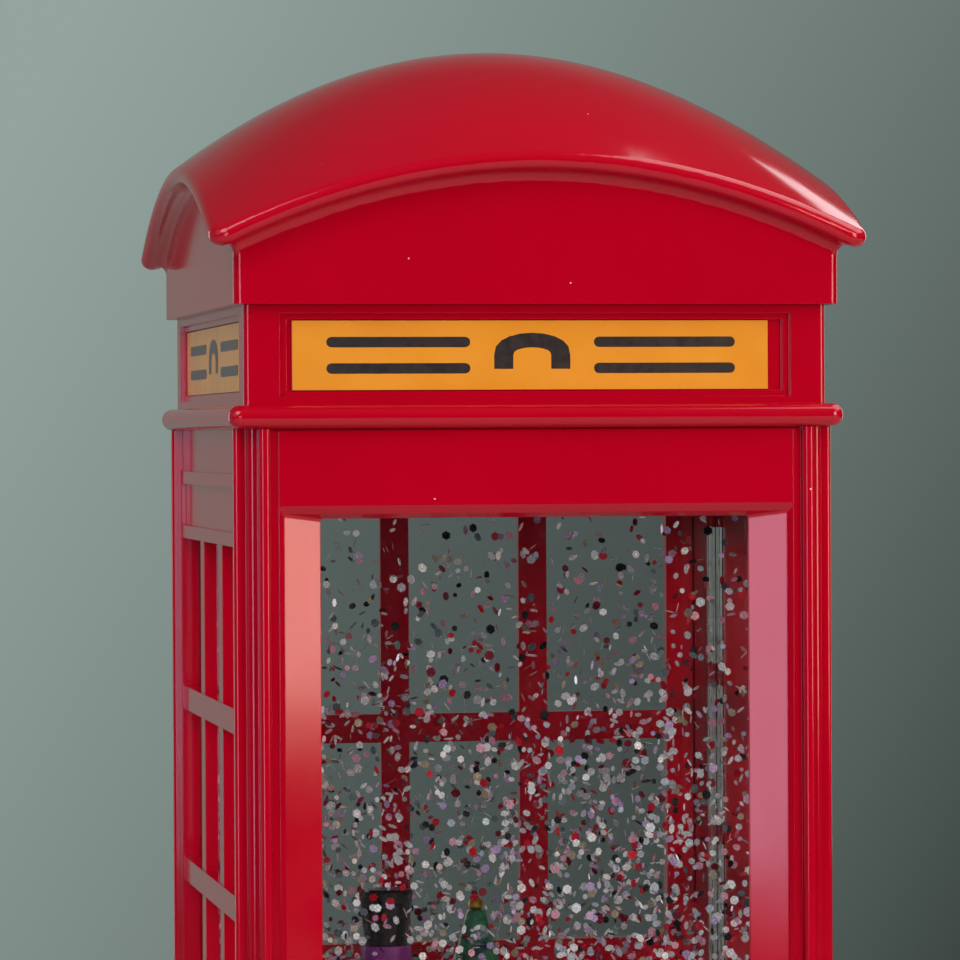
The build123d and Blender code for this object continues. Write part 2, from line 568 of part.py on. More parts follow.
def make_battery_box():
    wide, long = BOX_W / 2, BOX_L / 2
    body = block(-wide, wide, -long, long, Z_PLATE_TOP, Z_BOX_TOP)
    bay_w, bay_l = wide - BOX_T, long - BOX_T
    body = body - block(-bay_w, bay_w, -bay_l, bay_l, Z_PLATE_TOP - 1, Z_BOX_TOP - BOX_T)
    ears = []
    for side in (-1, 1):
        for y in (-10, 10):
            ear = block(side * (wide - 0.5), side * (wide + 5), y - 3, y + 3, Z_PLATE_TOP, Z_PLATE_TOP + 2)
            ears.append(ear)
    for side in (-1, 1):
        ears.append(rod(side * BOARD_POST_X, BOARD_POST_Y, BOARD_POST_R, Z_BOX_TOP - 0.5, Z_BOARD))
    body = joined([body] + ears)
    for side in (-1, 1):
        body = body - rod(side * BOARD_POST_X, BOARD_POST_Y, BOARD_SCREW_R, Z_BOARD - 6, Z_BOARD + 1)
    return body


def each_cell():
    """Every cell's place across the bay and the way its raised end points."""
    for i in range(CELLS):
        yield (i - (CELLS - 1) / 2) * CELL_PITCH, 1 if i % 2 == 0 else -1


def make_cells():
    cells = []
    for x, way in each_cell():
        can = Cylinder(CELL_R, CELL_L - 1.4)
        can = Pos(0, 0, -0.7) * chamfer(can.edges().filter_by(GeomType.CIRCLE), 0.5)
        nub = Pos(0, 0, CELL_L / 2 - 0.8) * Cylinder(2.7, 1.6)
        lying = Rot(-90 * way, 0, 0) * (can + nub)
        cells.append(Pos(x, way * SPRING_L / 2, CELL_Z) * lying)
    return Compound(children=[s for cell in cells for s in cell.solids()])


def make_contacts():
    """Tinned contact plates at both ends of the battery bay."""
    low, high = Z_PLATE_TOP + 1.5, CELL_Z + 6.0
    plates = []
    for side in (-1, 1):
        for x, _ in each_cell():
            end = side * BAY_L / 2
            plates.append(block(x - 5.5, x + 5.5, end, end + side * CONTACT_T, low, high))
    return Compound(children=plates)


def make_springs():
    """Bowed leaf springs between each cell's flat end and its contact plate."""
    rise = SPRING_L - 0.1
    radius = (SPRING_SPAN**2 / 4 + rise**2) / (2 * rise)
    hoop = Cylinder(radius, SPRING_W) - Cylinder(radius - SPRING_T, SPRING_W + 1)
    hoop = Rot(0, 90, 0) * hoop
    made = []
    for x, way in each_cell():
        foot = -way * BAY_L / 2
        bow = Pos(x, foot + way * (rise - radius), CELL_Z) * hoop
        room = block(x - SPRING_W, x + SPRING_W, foot, foot + way * SPRING_L, CELL_Z - 10, CELL_Z + 10)
        made.append(bow & room)
    return Compound(children=[s for spring in made for s in spring.solids()])


def make_feet():
    feet = []
    for x, y in corners(FOOT_OUT):
        pad = rod(x, y, FOOT_R, 0, Z_PLINTH + FOOT_SINK)
        feet.append(fillet(pad.faces().sort_by(Axis.Z)[0].edges(), 0.5))
    return Compound(children=feet)


# ---- Deck, motor and drive ------------------------------------------------------------------
def make_deck():
    half = INNER - CLEAR - 0.2
    body = square_bar(half, Z_DECK, Z_DECK_TOP, 0.8)
    reach = POST_OUT - 10
    rail = block(-reach, reach, -TANK, -TANK + 3, Z_DECK_TOP - 0.5, Z_TANK_BASE)
    body = joined([body] + each_side(rail))
    body = body - rod(0, 0, 3.3, Z_DECK - 1, Z_DECK_TOP + 1)
    legs = []
    for x, y in corners(POST_OUT):
        leg = rod(x, y, LEG_R, Z_PLATE_TOP, Z_DECK + 0.5)
        legs.append(leg)
    body = joined([body] + legs)
    holes = []
    for x, y in corners(POST_OUT):
        holes.append(rod(x, y, SCREW_R + SCREW_CLEAR, Z_PLATE_TOP - 1, Z_DECK_TOP + 1))
    for x, y in ring_of(8.0, 2):
        holes.append(rod(x, y, 1.15, Z_DECK - 1, Z_DECK_TOP + 1))
    return less(body, holes)


def make_motor():
    z0 = Z_DECK - MOTOR_H
    can = rod(0, 0, MOTOR_R, z0, Z_DECK - 0.05)
    can = fillet(can.faces().sort_by(Axis.Z)[0].edges(), 1.2)
    boss = rod(0, 0, 3.0, Z_DECK - 0.5, Z_DECK + 1.2)
    lugs = [block(x - 1, x + 1, 6.5, 9.5, z0 - 2.2, z0 + 0.5) for x in (-4, 4)]
    body = joined([can, boss] + lugs)
    return body - rod(0, 0, SHAFT_R + RUN_CLEAR, z0 + 2, Z_DECK + 3)


def make_shaft():
    return rod(0, 0, SHAFT_R, Z_DECK - MOTOR_H + 2.2, Z_ROTOR + ROTOR_H - 0.3)


def make_rotor():
    disc = rod(0, 0, ROTOR_R, Z_ROTOR, Z_ROTOR + ROTOR_H)
    disc = chamfer(disc.edges().filter_by(GeomType.CIRCLE), 0.4)
    hub = rod(0, 0, 3.5, Z_ROTOR - 1.6, Z_ROTOR + 0.5)
    body = disc + hub - rod(0, 0, SHAFT_R, Z_ROTOR - 3, Z_ROTOR + ROTOR_H - 0.3)
    for x, y in ring_of(MAGNET_OUT, 2):
        body = body - rod(x, y, MAGNET_R, Z_ROTOR + ROTOR_H - MAGNET_H, Z_ROTOR + ROTOR_H + 1)
    return body


def make_magnets(z0):
    return Compound(children=[rod(x, y, MAGNET_R, z0, z0 + MAGNET_H) for x, y in ring_of(MAGNET_OUT, 2)])


def make_led_board():
    board = rod(0, 0, ROTOR_R + 9, Z_DECK_TOP, Z_DECK_TOP + BOARD_T)
    return board - rod(0, 0, ROTOR_R + 2, Z_DECK_TOP - 1, Z_DECK_TOP + 3)


def make_leds():
    z0 = Z_DECK_TOP + BOARD_T
    chips = []
    for x, y in ring_of(ROTOR_R + 5.5, 6):
        chip = block(x - 1.75, x + 1.75, y - 1.75, y + 1.75, z0, z0 + 0.8)
        dome = Pos(x, y, z0 + 0.8) * Sphere(1.4) & block(x - 2, x + 2, y - 2, y + 2, z0 + 0.5, z0 + 3)
        chips.append(chip + dome)
    return Compound(children=chips)


def make_circuit_board():
    board = block(-BOARD_HALF, BOARD_HALF, BOX_L / 2 - 6.5, INNER - 0.6, Z_BOARD, Z_BOARD + BOARD_T)
    for x in (-BOARD_POST_X, BOARD_POST_X):
        board = board - rod(x, BOARD_POST_Y, 1.2, Z_BOARD - 1, Z_BOARD + 3)
    return board


def make_board_screws():
    made = []
    for x in (-BOARD_POST_X, BOARD_POST_X):
        z0 = Z_BOARD + BOARD_T
        head = rod(x, BOARD_POST_Y, 2.0, z0, z0 + 1.4)
        shank = rod(x, BOARD_POST_Y, BOARD_SCREW_R, z0 - 6.0, z0)
        slot = block(x - 1.4, x + 1.4, BOARD_POST_Y - 0.3, BOARD_POST_Y + 0.3, z0 + 0.8, z0 + 2)
        made.append(head + shank - slot)
    return Compound(children=made)


def make_switch_body():
    left, right = SWITCH_X - SWITCH_W / 2, SWITCH_X + SWITCH_W / 2
    body = block(left, right, SWITCH_Y, SWITCH_Y + SWITCH_D, SWITCH_Z, SWITCH_Z + SWITCH_H)
    z = SWITCH_Z + SWITCH_H / 2
    reach, room_h = KNOB_W / 2 + SWITCH_STEP + MOVE_CLEAR, KNOB_H / 2 + 0.2
    left, right = SWITCH_X - reach, SWITCH_X + reach
    return body - block(left, right, SWITCH_Y + 2, SWITCH_Y + SWITCH_D + 1, z - room_h, z + room_h)


def make_switch_knob():
    z = SWITCH_Z + SWITCH_H / 2
    y1 = RIB_FACE - 0.6
    left, right = SWITCH_X - KNOB_W / 2, SWITCH_X + KNOB_W / 2
    knob = block(left, right, SWITCH_Y + 2.2, y1, z - KNOB_H / 2, z + KNOB_H / 2)
    knob = fillet(knob.faces().sort_by(Axis.Y)[-1].edges(), 0.5)
    lines = [SWITCH_X + x for x in (-0.9, 0, 0.9)]
    grips = [block(x - 0.2, x + 0.2, y1 - 0.5, y1 + 1, z - 2, z + 2) for x in lines]
    return less(knob, grips)


def make_usb():
    y1 = INNER + 1.0
    z = SWITCH_Z + USB_H / 2
    left, right = USB_X - USB_W / 2, USB_X + USB_W / 2
    body = block(left, right, y1 - USB_D, y1, SWITCH_Z, SWITCH_Z + USB_H)
    body = fillet(body.edges().filter_by(Axis.Y), 1.5)
    low, high = SWITCH_Z + USB_T, SWITCH_Z + USB_H - USB_T
    mouth = block(left + USB_T, right - USB_T, y1 - USB_D + 1.2, y1 + 1, low, high)
    mouth = fillet(mouth.edges().filter_by(Axis.Y), 1.15)
    blade = block(USB_X - 3.2, USB_X + 3.2, y1 - 6.4, y1 - 1.2, z - 0.35, z + 0.35)
    return body - mouth + blade


# ---- Tank and its closure -------------------------------------------------------------------
def make_tank():
    body = square_bar(TANK, Z_CLOSURE, Z_TANK_TOP, TANK_CORNER_R)
    body = fillet(body.faces().sort_by(Axis.Z)[-1].edges(), 3.0)
    room = square_bar(CAVITY, Z_CLOSURE - 1, Z_TANK_TOP - TANK_T, TANK_ROOM_R)
    room = fillet(room.faces().sort_by(Axis.Z)[-1].edges(), 1.5)
    return body - room


def make_tank_base():
    plate = square_bar(TANK, Z_TANK_BASE, Z_CLOSURE, TANK_CORNER_R)
    fit = CAVITY - CLEAR
    plug = square_bar(fit, Z_CLOSURE - 0.5, Z_CLOSURE + PLUG_H, TANK_ROOM_R - CLEAR)
    hollow = square_bar(fit - PLUG_T, Z_CLOSURE, Z_CLOSURE + PLUG_H + 1, TANK_ROOM_R - CLEAR - PLUG_T)
    body = plate + plug - hollow
    z0 = Z_CLOSURE + (PLUG_H - SEAL_H) / 2
    groove = square_bar(CAVITY + 1, z0, z0 + SEAL_H, TANK_ROOM_R)
    groove = groove - square_bar(CAVITY - SEAL_W, z0 - 1, z0 + SEAL_H + 1, TANK_ROOM_R - SEAL_W)
    body = body - groove
    body = body - rod(0, FILL_Y, FILL_R, Z_TANK_BASE - 1, Z_CLOSURE + 1)
    pin_hole = rod(0, 0, PIN_R, Z_CLOSURE - 1.6, Z_CLOSURE + 1)
    return body - pin_hole


def make_seal():
    z0 = Z_CLOSURE + (PLUG_H - SEAL_H) / 2
    ring = square_bar(CAVITY, z0, z0 + SEAL_H, TANK_ROOM_R)
    return ring - square_bar(CAVITY - SEAL_W, z0 - 1, z0 + SEAL_H + 1, TANK_ROOM_R - SEAL_W)


def make_fill_plug():
    stem = rod(0, FILL_Y, FILL_R, Z_TANK_BASE, Z_CLOSURE)
    return stem + rod(0, FILL_Y, FILL_R + 1.6, Z_TANK_BASE - 1.2, Z_TANK_BASE)


def make_pin():
    return rod(0, 0, PIN_R, Z_CLOSURE - 1.6, Z_BLADE_TOP + 0.4)


def make_impeller():
    disc = rod(0, 0, IMPELLER_R, Z_IMPELLER, Z_IMPELLER + DISC_H)
    hub = rod(0, 0, 3.2, Z_IMPELLER, Z_BLADE_TOP)
    root = Z_IMPELLER + DISC_H - 0.3
    blade = block(2.5, IMPELLER_R - 0.4, -BLADE_T / 2, BLADE_T / 2, root, Z_BLADE_TOP)
    blades = [Rot(0, 0, 360 / BLADES * i) * blade for i in range(BLADES)]
    body = joined([disc, hub] + blades)
    for x, y in ring_of(MAGNET_OUT, 2):
        body = body - rod(x, y, MAGNET_R, Z_IMPELLER - 1, Z_IMPELLER + MAGNET_H)
    return body - rod(0, 0, PIN_R + RUN_CLEAR, Z_IMPELLER - 1, Z_BLADE_TOP + 1)


# ---- Snow ground and figures ----------------------------------------------------------------
def make_ground():
    """Snow-white scenery moulding: a low dome over the impeller's well, with slots for the current."""
    half, corner = CAVITY - CLEAR, TANK_ROOM_R - CLEAR
    rim = square_bar(half, Z_GROUND, Z_RIM, corner)
    dome_r = (half**2 + MOUND_H**2) / (2 * MOUND_H)
    dome = Pos(0, 0, Z_CLOSURE + MOUND_H - dome_r) * Sphere(dome_r)
    dome = dome & square_bar(half, Z_GROUND, Z_CLOSURE + MOUND_H + 1, corner)
    hills = []
    for x, y, radius, lift in GROUND_HILLS:
        hills.append(Pos(x, y, Z_GROUND + lift - radius) * Sphere(radius))
    hill = joined(hills) & square_bar(half, Z_GROUND, Z_GROUND + 30, corner)
    body = rim + dome + hill
    core = rod(0, 0, WELL_R + 1.8, Z_CLOSURE, Z_GROUND + 0.5)
    body = body + core
    body = body - rod(0, 0, WELL_R, Z_CLOSURE - 1, Z_CLOSURE + WELL_H)
    slots = []
    for i in range(4):
        slot = block(WELL_R - 6, WELL_R + 14, -2.5, 2.5, Z_CLOSURE + 1.5, Z_CLOSURE + 6.0)
        chute = block(WELL_R - 7, WELL_R - 2, -3, 3, Z_CLOSURE + 4, Z_CLOSURE + MOUND_H + 8)
        slots += [Rot(0, 0, 90 * i + 45) * slot, Rot(0, 0, 90 * i) * chute]
    return less(body, slots)


def make_snowman():
    body = Pos(SNOWMAN_X, SNOWMAN_Y, Z_BODY) * Sphere(BODY_R)
    head = Pos(SNOWMAN_X, SNOWMAN_Y, Z_HEAD) * Sphere(HEAD_R)
    neck = rod(SNOWMAN_X, SNOWMAN_Y, HEAD_R * 0.7, Z_BODY, Z_HEAD)
    foot = rod(SNOWMAN_X, SNOWMAN_Y, BODY_R * 0.8, Z_BODY - BODY_R - 3, Z_BODY)
    return body + head + neck + foot


def make_hat():
    z0 = Z_BRIM
    brim = rod(SNOWMAN_X, SNOWMAN_Y, HAT_BRIM_R, z0, z0 + BRIM_T)
    brim = fillet(brim.edges().filter_by(GeomType.CIRCLE), 0.5)
    neck = rod(SNOWMAN_X, SNOWMAN_Y, HAT_NECK_R, z0 + 0.5, z0 + BRIM_T + BAND_H + 0.5)
    crown = rod(SNOWMAN_X, SNOWMAN_Y, HAT_NECK_R + 0.1, z0 + BRIM_T + BAND_H, Z_HAT_TOP, HAT_R)
    crown = fillet(crown.faces().sort_by(Axis.Z)[-1].edges(), 0.8)
    return brim + neck + crown


def make_hat_band():
    z0 = Z_BRIM + BRIM_T
    ring = rod(SNOWMAN_X, SNOWMAN_Y, HAT_NECK_R + 0.8, z0, z0 + BAND_H)
    return ring - rod(SNOWMAN_X, SNOWMAN_Y, HAT_NECK_R, z0 - 1, z0 + BAND_H + 1)


def make_scarf():
    z = Z_HEAD - HEAD_R * 0.72
    ring = Pos(SNOWMAN_X, SNOWMAN_Y, z) * Torus(HEAD_R * 0.86, 1.9)
    tail = block(SNOWMAN_X + 2.2, SNOWMAN_X + 6.0, SNOWMAN_Y - 13.2, SNOWMAN_Y - 7.0, z - 9, z)
    tail = fillet(tail.edges().filter_by(Axis.Y), 1.0)
    ball = Pos(SNOWMAN_X, SNOWMAN_Y, Z_BODY) * Sphere(BODY_R + 1.4)
    return (ring + (tail & ball)) - make_snowman()


def make_nose():
    y0 = SNOWMAN_Y - HEAD_R
    cone = Pos(SNOWMAN_X, y0 - 2.4, Z_HEAD) * Rot(90, 0, 0) * Cone(1.3, 0.3, 6.0)
    return cone - make_snowman()


def make_coals():
    """Eyes and coat buttons."""
    dots = []
    for x in (-2.8, 2.8):
        dots.append(Pos(SNOWMAN_X + x, SNOWMAN_Y - HEAD_R + 0.9, Z_HEAD + 2.6) * Sphere(1.0))
    for z in (1.5, -4.0):
        reach = math.sqrt(BODY_R**2 - z**2)
        dots.append(Pos(SNOWMAN_X, SNOWMAN_Y - reach + 0.2, Z_BODY + z) * Sphere(1.1))
    body = make_snowman()
    return Compound(children=[s for d in dots for s in (d - body).solids()])


def make_tree():
    z0 = Z_RIM - 1.0
    trunk = rod(TREE_X, TREE_Y, 2.6, z0, z0 + 9)
    tiers = [trunk]
    top_z = z0 + TREE_H
    tier_h = (TREE_H - 6) / TREE_TIERS
    for i in range(TREE_TIERS):
        wide = TREE_R * (1 - i / TREE_TIERS) + 1.6
        low = z0 + 6 + i * tier_h
        high = min(low + tier_h * 1.5, top_z)
        narrow = max(wide * 0.42, 1.2)
        ring = Plane(origin=(TREE_X, TREE_Y, low)) * RegularPolygon(wide, TREE_SIDES)
        cap = Plane(origin=(TREE_X, TREE_Y, high)) * RegularPolygon(narrow, TREE_SIDES)
        tiers.append(loft([ring, cap]))
    return joined(tiers)


def make_tree_tip():
    return Pos(TREE_X, TREE_Y, Z_RIM - 1.0 + TREE_H + TIP_R * 0.8) * Sphere(TIP_R)


def make_fluid(others):
    """Clear carrier fluid that fills the tank round everything in it."""
    gap = 0.05
    top = Z_TANK_TOP - TANK_T - gap
    body = square_bar(CAVITY - gap, Z_GROUND + 0.2, top, TANK_ROOM_R - gap)
    body = fillet(body.faces().sort_by(Axis.Z)[-1].edges(), 1.5)
    body = body - rod(0, 0, WELL_R + 0.1, Z_CLOSURE, Z_CLOSURE + WELL_H + 0.1)
    return less(body, others).solids().sort_by(SortBy.VOLUME)[-1]


def main():
    os.makedirs("parts", exist_ok=True)
    side_grille = make_side_grille()
    sign = make_sign()
    base_bite = Z_DECK_TOP + SCREW_BITE - Z_PLINTH - 0.1 - SCREW_HEAD_H
    tank_scene = {
        "snow_ground": make_ground(),
        "snowman": make_snowman(),
        "snowman_hat": make_hat(),
        "hat_band": make_hat_band(),
        "snowman_scarf": make_scarf(),
        "snowman_nose": make_nose(),
        "snowman_coals": make_coals(),
        "fir_tree": make_tree(),
        "tree_tip": make_tree_tip(),
    }
    tank_scene["snowman"] = tank_scene["snowman"] - tank_scene["snow_ground"] - tank_scene["snowman_hat"]
    tank_scene["fir_tree"] = tank_scene["fir_tree"] - tank_scene["snow_ground"]
    tank_scene["tree_tip"] = tank_scene["tree_tip"] - tank_scene["fir_tree"]
    nodes = {
        "roof_cap": make_roof(),
        "sign_band": make_sign_band(),
        "sign_front": sign,
        "sign_right": each_side(sign)[1],
        "sign_rear": each_side(sign)[2],
        "sign_left": each_side(sign)[3],
        "roof_screws": screws(corners(POST_OUT), Z_FRIEZE - 6.0 - SCREW_HEAD_H, 12.0),
        "booth_shell": make_shell(),
        "front_frame": make_front_frame(),
        "grille_right": each_side(side_grille)[1],
        "grille_left": each_side(side_grille)[3],
        "grille_rear": each_side(make_rear_grille())[2],
        "plinth": make_plinth(),
        "base_plate": make_base_plate(),
        "base_screws": screws(corners(POST_OUT), Z_PLINTH + 0.1, base_bite),
        "rubber_feet": make_feet(),
        "battery_box": make_battery_box(),
        "battery_door": make_battery_door(),
        "door_screw": make_door_screw(),
        "aa_cells": make_cells(),
        "battery_contacts": make_contacts(),
        "battery_springs": make_springs(),
        "mechanism_deck": make_deck(),
        "motor": make_motor(),
        "motor_shaft": make_shaft(),
        "magnet_rotor": make_rotor(),
        "rotor_magnets": make_magnets(Z_ROTOR + ROTOR_H - MAGNET_H),
        "led_board": make_led_board(),
        "led_chips": make_leds(),
        "circuit_board": make_circuit_board(),
        "board_screws": make_board_screws(),
        "switch_body": make_switch_body(),
        "switch_knob": make_switch_knob(),
        "usb_socket": make_usb(),
        "tank": make_tank(),
        "tank_base": make_tank_base(),
        "tank_seal": make_seal(),
        "fill_plug": make_fill_plug(),
        "impeller_pin": make_pin(),
        "impeller": make_impeller(),
        "impeller_magnets": make_magnets(Z_IMPELLER),
        "fluid": make_fluid(list(tank_scene.values())),
    }
    nodes.update(tank_scene)
    for name, shape in nodes.items():
        save(name, shape)
    print(len(nodes), "nodes, height", round(Z_TOP, 2))


main()
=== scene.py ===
import math

import bpy
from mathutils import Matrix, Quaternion, Vector


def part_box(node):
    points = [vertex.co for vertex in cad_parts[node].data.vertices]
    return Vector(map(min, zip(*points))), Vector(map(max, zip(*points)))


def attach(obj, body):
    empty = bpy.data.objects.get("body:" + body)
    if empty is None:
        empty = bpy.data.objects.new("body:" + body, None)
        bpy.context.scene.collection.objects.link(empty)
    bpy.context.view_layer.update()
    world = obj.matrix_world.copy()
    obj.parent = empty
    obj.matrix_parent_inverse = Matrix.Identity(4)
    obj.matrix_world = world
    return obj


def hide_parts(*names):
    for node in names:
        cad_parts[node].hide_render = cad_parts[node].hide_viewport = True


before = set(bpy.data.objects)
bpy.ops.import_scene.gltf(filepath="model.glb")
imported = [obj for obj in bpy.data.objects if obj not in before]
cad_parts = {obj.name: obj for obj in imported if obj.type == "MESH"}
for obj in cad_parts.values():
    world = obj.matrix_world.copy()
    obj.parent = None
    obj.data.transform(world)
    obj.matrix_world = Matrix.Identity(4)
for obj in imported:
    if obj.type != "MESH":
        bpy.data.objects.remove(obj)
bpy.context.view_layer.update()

# A table-top glitter lantern in the shape of a telephone booth: moulded red ABS round a clear
# tank of fluid, glitter and two small figures. Metres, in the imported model's own frame.
MM = 0.001
FLUID_IOR = 1.34  # water with a little glycerine
TANK_WALL = 2.0 * MM
TANK_CORNER = 6.0 * MM  # outer radius of the tank's upright corners


# ---- Small tools ----------------------------------------------------------------------------
def linear(hex_colour):
    """sRGB hex colour as the linear RGBA that a shader socket takes."""
    channels = [int(hex_colour[i : i + 2], 16) / 255 for i in (0, 2, 4)]
    return [c / 12.92 if c <= 0.04045 else ((c + 0.055) / 1.055) ** 2.4 for c in channels] + [1.0]


def add(tree, kind, sockets=None, **settings):
    """One node with its settings; each named or numbered socket gets a value or a link."""
    node = tree.nodes.new(kind)
    for name, value in settings.items():
        setattr(node, name, value)
    for socket, value in (sockets or {}).items():
        if isinstance(value, bpy.types.NodeSocket):
            tree.links.new(value, node.inputs[socket])
        else:
            node.inputs[socket].default_value = value
    return node


def maths(tree, operation, *values, clamp=False):
    """Result of one Math node."""
    node = add(tree, "ShaderNodeMath", dict(enumerate(values)), operation=operation, use_clamp=clamp)
    return node.outputs[0]


def vectors(tree, operation, *values, result="Vector"):
    """Result of one Vector Math node."""
    return add(tree, "ShaderNodeVectorMath", dict(enumerate(values)), operation=operation).outputs[result]


def new_material(name):
    """Empty node material; returns it and its tree."""
    material = bpy.data.materials.new(name)
    material.use_nodes = True
    material.node_tree.nodes.clear()
    return material, material.node_tree


def new_piece(name, vertices, faces, material, body):
    """Mesh piece from its corners and faces, riding a body."""
    mesh = bpy.data.meshes.new(name)
    mesh.from_pydata(vertices, [], faces)
    mesh.materials.append(material)
    piece = bpy.data.objects.new(name, mesh)
    bpy.context.scene.collection.objects.link(piece)
    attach(piece, body)
    return piece


# ---- Materials ------------------------------------------------------------------------------
def place(tree):
    """Object coordinates in millimetres."""
    here = add(tree, "ShaderNodeTexCoord").outputs["Object"]
    return vectors(tree, "MULTIPLY", here, (1 / MM,) * 3)


def grain(tree, where, size, detail=2.0, roughness=0.5):
    """Noise whose lumps are about one size across, in millimetres."""
    sockets = {"Vector": where, "Scale": 1 / size, "Detail": detail, "Roughness": roughness}
    return add(tree, "ShaderNodeTexNoise", sockets).outputs["Fac"]


def spread(tree, value, low, high, start=0.3, end=0.7):
    """Noise stretched over a range of values."""
    sockets = {"Value": value, "From Min": start, "From Max": end, "To Min": low, "To Max": high}
    return add(tree, "ShaderNodeMapRange", sockets).outputs[0]


def blended(tree, share, first, second, mode="MIX"):
    """Two colours mixed; each is a hex colour or a socket."""
    pair = [linear(c) if isinstance(c, str) else c for c in (first, second)]
    sockets = {"Factor": share, 6: pair[0], 7: pair[1]}
    return add(tree, "ShaderNodeMix", sockets, data_type="RGBA", blend_type=mode).outputs[2]


def specks(tree, where, pitch, radius, share):
    """1 on sparse round specks: one in each cell of a pitch, kept in a share of the cells."""
    cells = add(tree, "ShaderNodeTexVoronoi", {"Vector": where, "Scale": 1 / pitch, "Randomness": 1.0})
    near = maths(tree, "LESS_THAN", cells.outputs["Distance"], radius / pitch)
    pick = add(tree, "ShaderNodeSeparateColor", {0: cells.outputs["Color"]}).outputs[0]
    return maths(tree, "MULTIPLY", near, maths(tree, "LESS_THAN", pick, share))


def moulded(name, colour, shade, rough, patch=14.0, peel=0.9, height=0.006, edge=0.0, dust=None):
    """Plastic, rubber or painted part: two close colours in soft patches, uneven gloss and a fine skin.

    Sizes are in millimetres: patch across the colour patches, peel across the skin's lumps, height
    of the skin and edge for the radius that light sees on the mould's edges. Dust is the pitch and
    radius of specks, the share of places that have one, and their colour."""
    material, tree = new_material(name)
    where = place(tree)
    tint = blended(tree, spread(tree, grain(tree, where, patch), 0.0, 1.0), colour, shade)
    gloss = spread(tree, grain(tree, where, patch * 0.4, 3.0), *rough)
    if dust:
        mask = specks(tree, where, dust[0], dust[1], dust[2])
        tint = blended(tree, mask, tint, dust[3])
        gloss = maths(tree, "ADD", gloss, mask, clamp=True)
    skin = grain(tree, where, peel, 3.0, 0.6)
    bump = {"Height": skin, "Distance": height * MM, "Strength": 1.0}
    if edge:
        bump["Normal"] = add(tree, "ShaderNodeBevel", {"Radius": edge * MM}, samples=4).outputs[0]
    normal = add(tree, "ShaderNodeBump", bump).outputs[0]
    shader = add(tree, "ShaderNodeBsdfPrincipled", {"Base Color": tint, "Roughness": gloss, "Normal": normal})
    add(tree, "ShaderNodeOutputMaterial", {"Surface": shader.outputs[0]})
    return material


def metal(name, colour, shade, rough, grit=0.25, stretch=(1, 1, 1)):
    """Bare or plated metal: uneven gloss and fine lines or grit of one size in millimetres."""
    material, tree = new_material(name)
    where = vectors(tree, "MULTIPLY", place(tree), stretch)
    fine = grain(tree, where, grit, 4.0, 0.7)
    tint = blended(tree, spread(tree, grain(tree, where, grit * 12), 0.0, 1.0), colour, shade)
    gloss = spread(tree, fine, *rough)
    bump = add(tree, "ShaderNodeBump", {"Height": fine, "Distance": 0.004 * MM, "Strength": 0.6})
    sockets = {"Base Color": tint, "Metallic": 1.0, "Roughness": gloss, "Normal": bump.outputs[0]}
    shader = add(tree, "ShaderNodeBsdfPrincipled", sockets)
    add(tree, "ShaderNodeOutputMaterial", {"Surface": shader.outputs[0]})
    return material


def clear_styrene():
    """Clear styrene full of fluid: bends what is behind it, mirrors at a slant and lets lamps in."""
    material, tree = new_material("clear_styrene")
    ripple = {"Height": grain(tree, place(tree), 26.0, 1.0), "Distance": 0.03 * MM, "Strength": 1.0}
    glass = {
        "Base Color": linear("E8ECEC"),
        "Transmission Weight": 1.0,
        "Roughness": 0.0,
        "IOR": FLUID_IOR,
        "Normal": add(tree, "ShaderNodeBump", ripple).outputs[0],
    }
    clear = add(tree, "ShaderNodeBsdfPrincipled", glass).outputs[0]
    through = add(tree, "ShaderNodeBsdfTransparent", {"Color": linear("F4F8F6")}).outputs[0]
    lamps = add(tree, "ShaderNodeLightPath").outputs["Is Shadow Ray"]
    shader = add(tree, "ShaderNodeMixShader", {0: lamps, 1: clear, 2: through}).outputs[0]
    add(tree, "ShaderNodeOutputMaterial", {"Surface": shader})
    return material


def wetted_face():
    """Inner face of the tank, nearly lost against the fluid: a little haze in soft patches."""
    material, tree = new_material("wetted_styrene")
    through = add(tree, "ShaderNodeBsdfTransparent", {"Color": linear("FCFDFC")}).outputs[0]
    haze = add(tree, "ShaderNodeBsdfDiffuse", {"Color": linear("AEB8B4")}).outputs[0]
    share = spread(tree, grain(tree, place(tree), 3.0, 4.0), 0.0, 0.008)
    shader = add(tree, "ShaderNodeMixShader", {0: share, 1: through, 2: haze}).outputs[0]
    add(tree, "ShaderNodeOutputMaterial", {"Surface": shader})
    return material


FLAKE_TONES_AND_SHADE = (  # where each colour starts, as a share of all the flakes
    (0.0, "FAFAFC"),
    (0.34, "D3D7E4"),
    (0.46, "CDB0E0"),
    (0.55, "E8A9BE"),
    (0.63, "C8102E"),
    (0.71, "7E1228"),
    # near-black flakes: painted shade, standing in for mirror flakes that face the dark room
    (0.77, "1C1A22"),
    (0.87, "B4A48C"),
    (0.93, "6E7F84"),
)


def glitter_film_and_shade():
    """Die-cut metallised polyester film: each flake has one flat tone and a mirror's gloss; the near-black
    tone is painted shade.
    """
    material, tree = new_material("glitter_film_and_shade")
    tone = add(tree, "ShaderNodeAttribute", attribute_name="flake_tone", attribute_type="GEOMETRY")
    ramp = add(tree, "ShaderNodeValToRGB", {0: tone.outputs["Fac"]})
    ramp.color_ramp.interpolation = "CONSTANT"
    while len(ramp.color_ramp.elements) < len(FLAKE_TONES_AND_SHADE):
        ramp.color_ramp.elements.new(1.0)
    for element, (start, colour) in zip(ramp.color_ramp.elements, FLAKE_TONES_AND_SHADE):
        element.position = start
        element.color = linear(colour)
    gloss = spread(tree, grain(tree, place(tree), 0.4), 0.15, 0.32)
    sockets = {"Base Color": ramp.outputs[0], "Metallic": 0.45, "Roughness": gloss, "IOR": 1.6}
    shader = add(tree, "ShaderNodeBsdfPrincipled", sockets)
    add(tree, "ShaderNodeOutputMaterial", {"Surface": shader.outputs[0]})
    return material


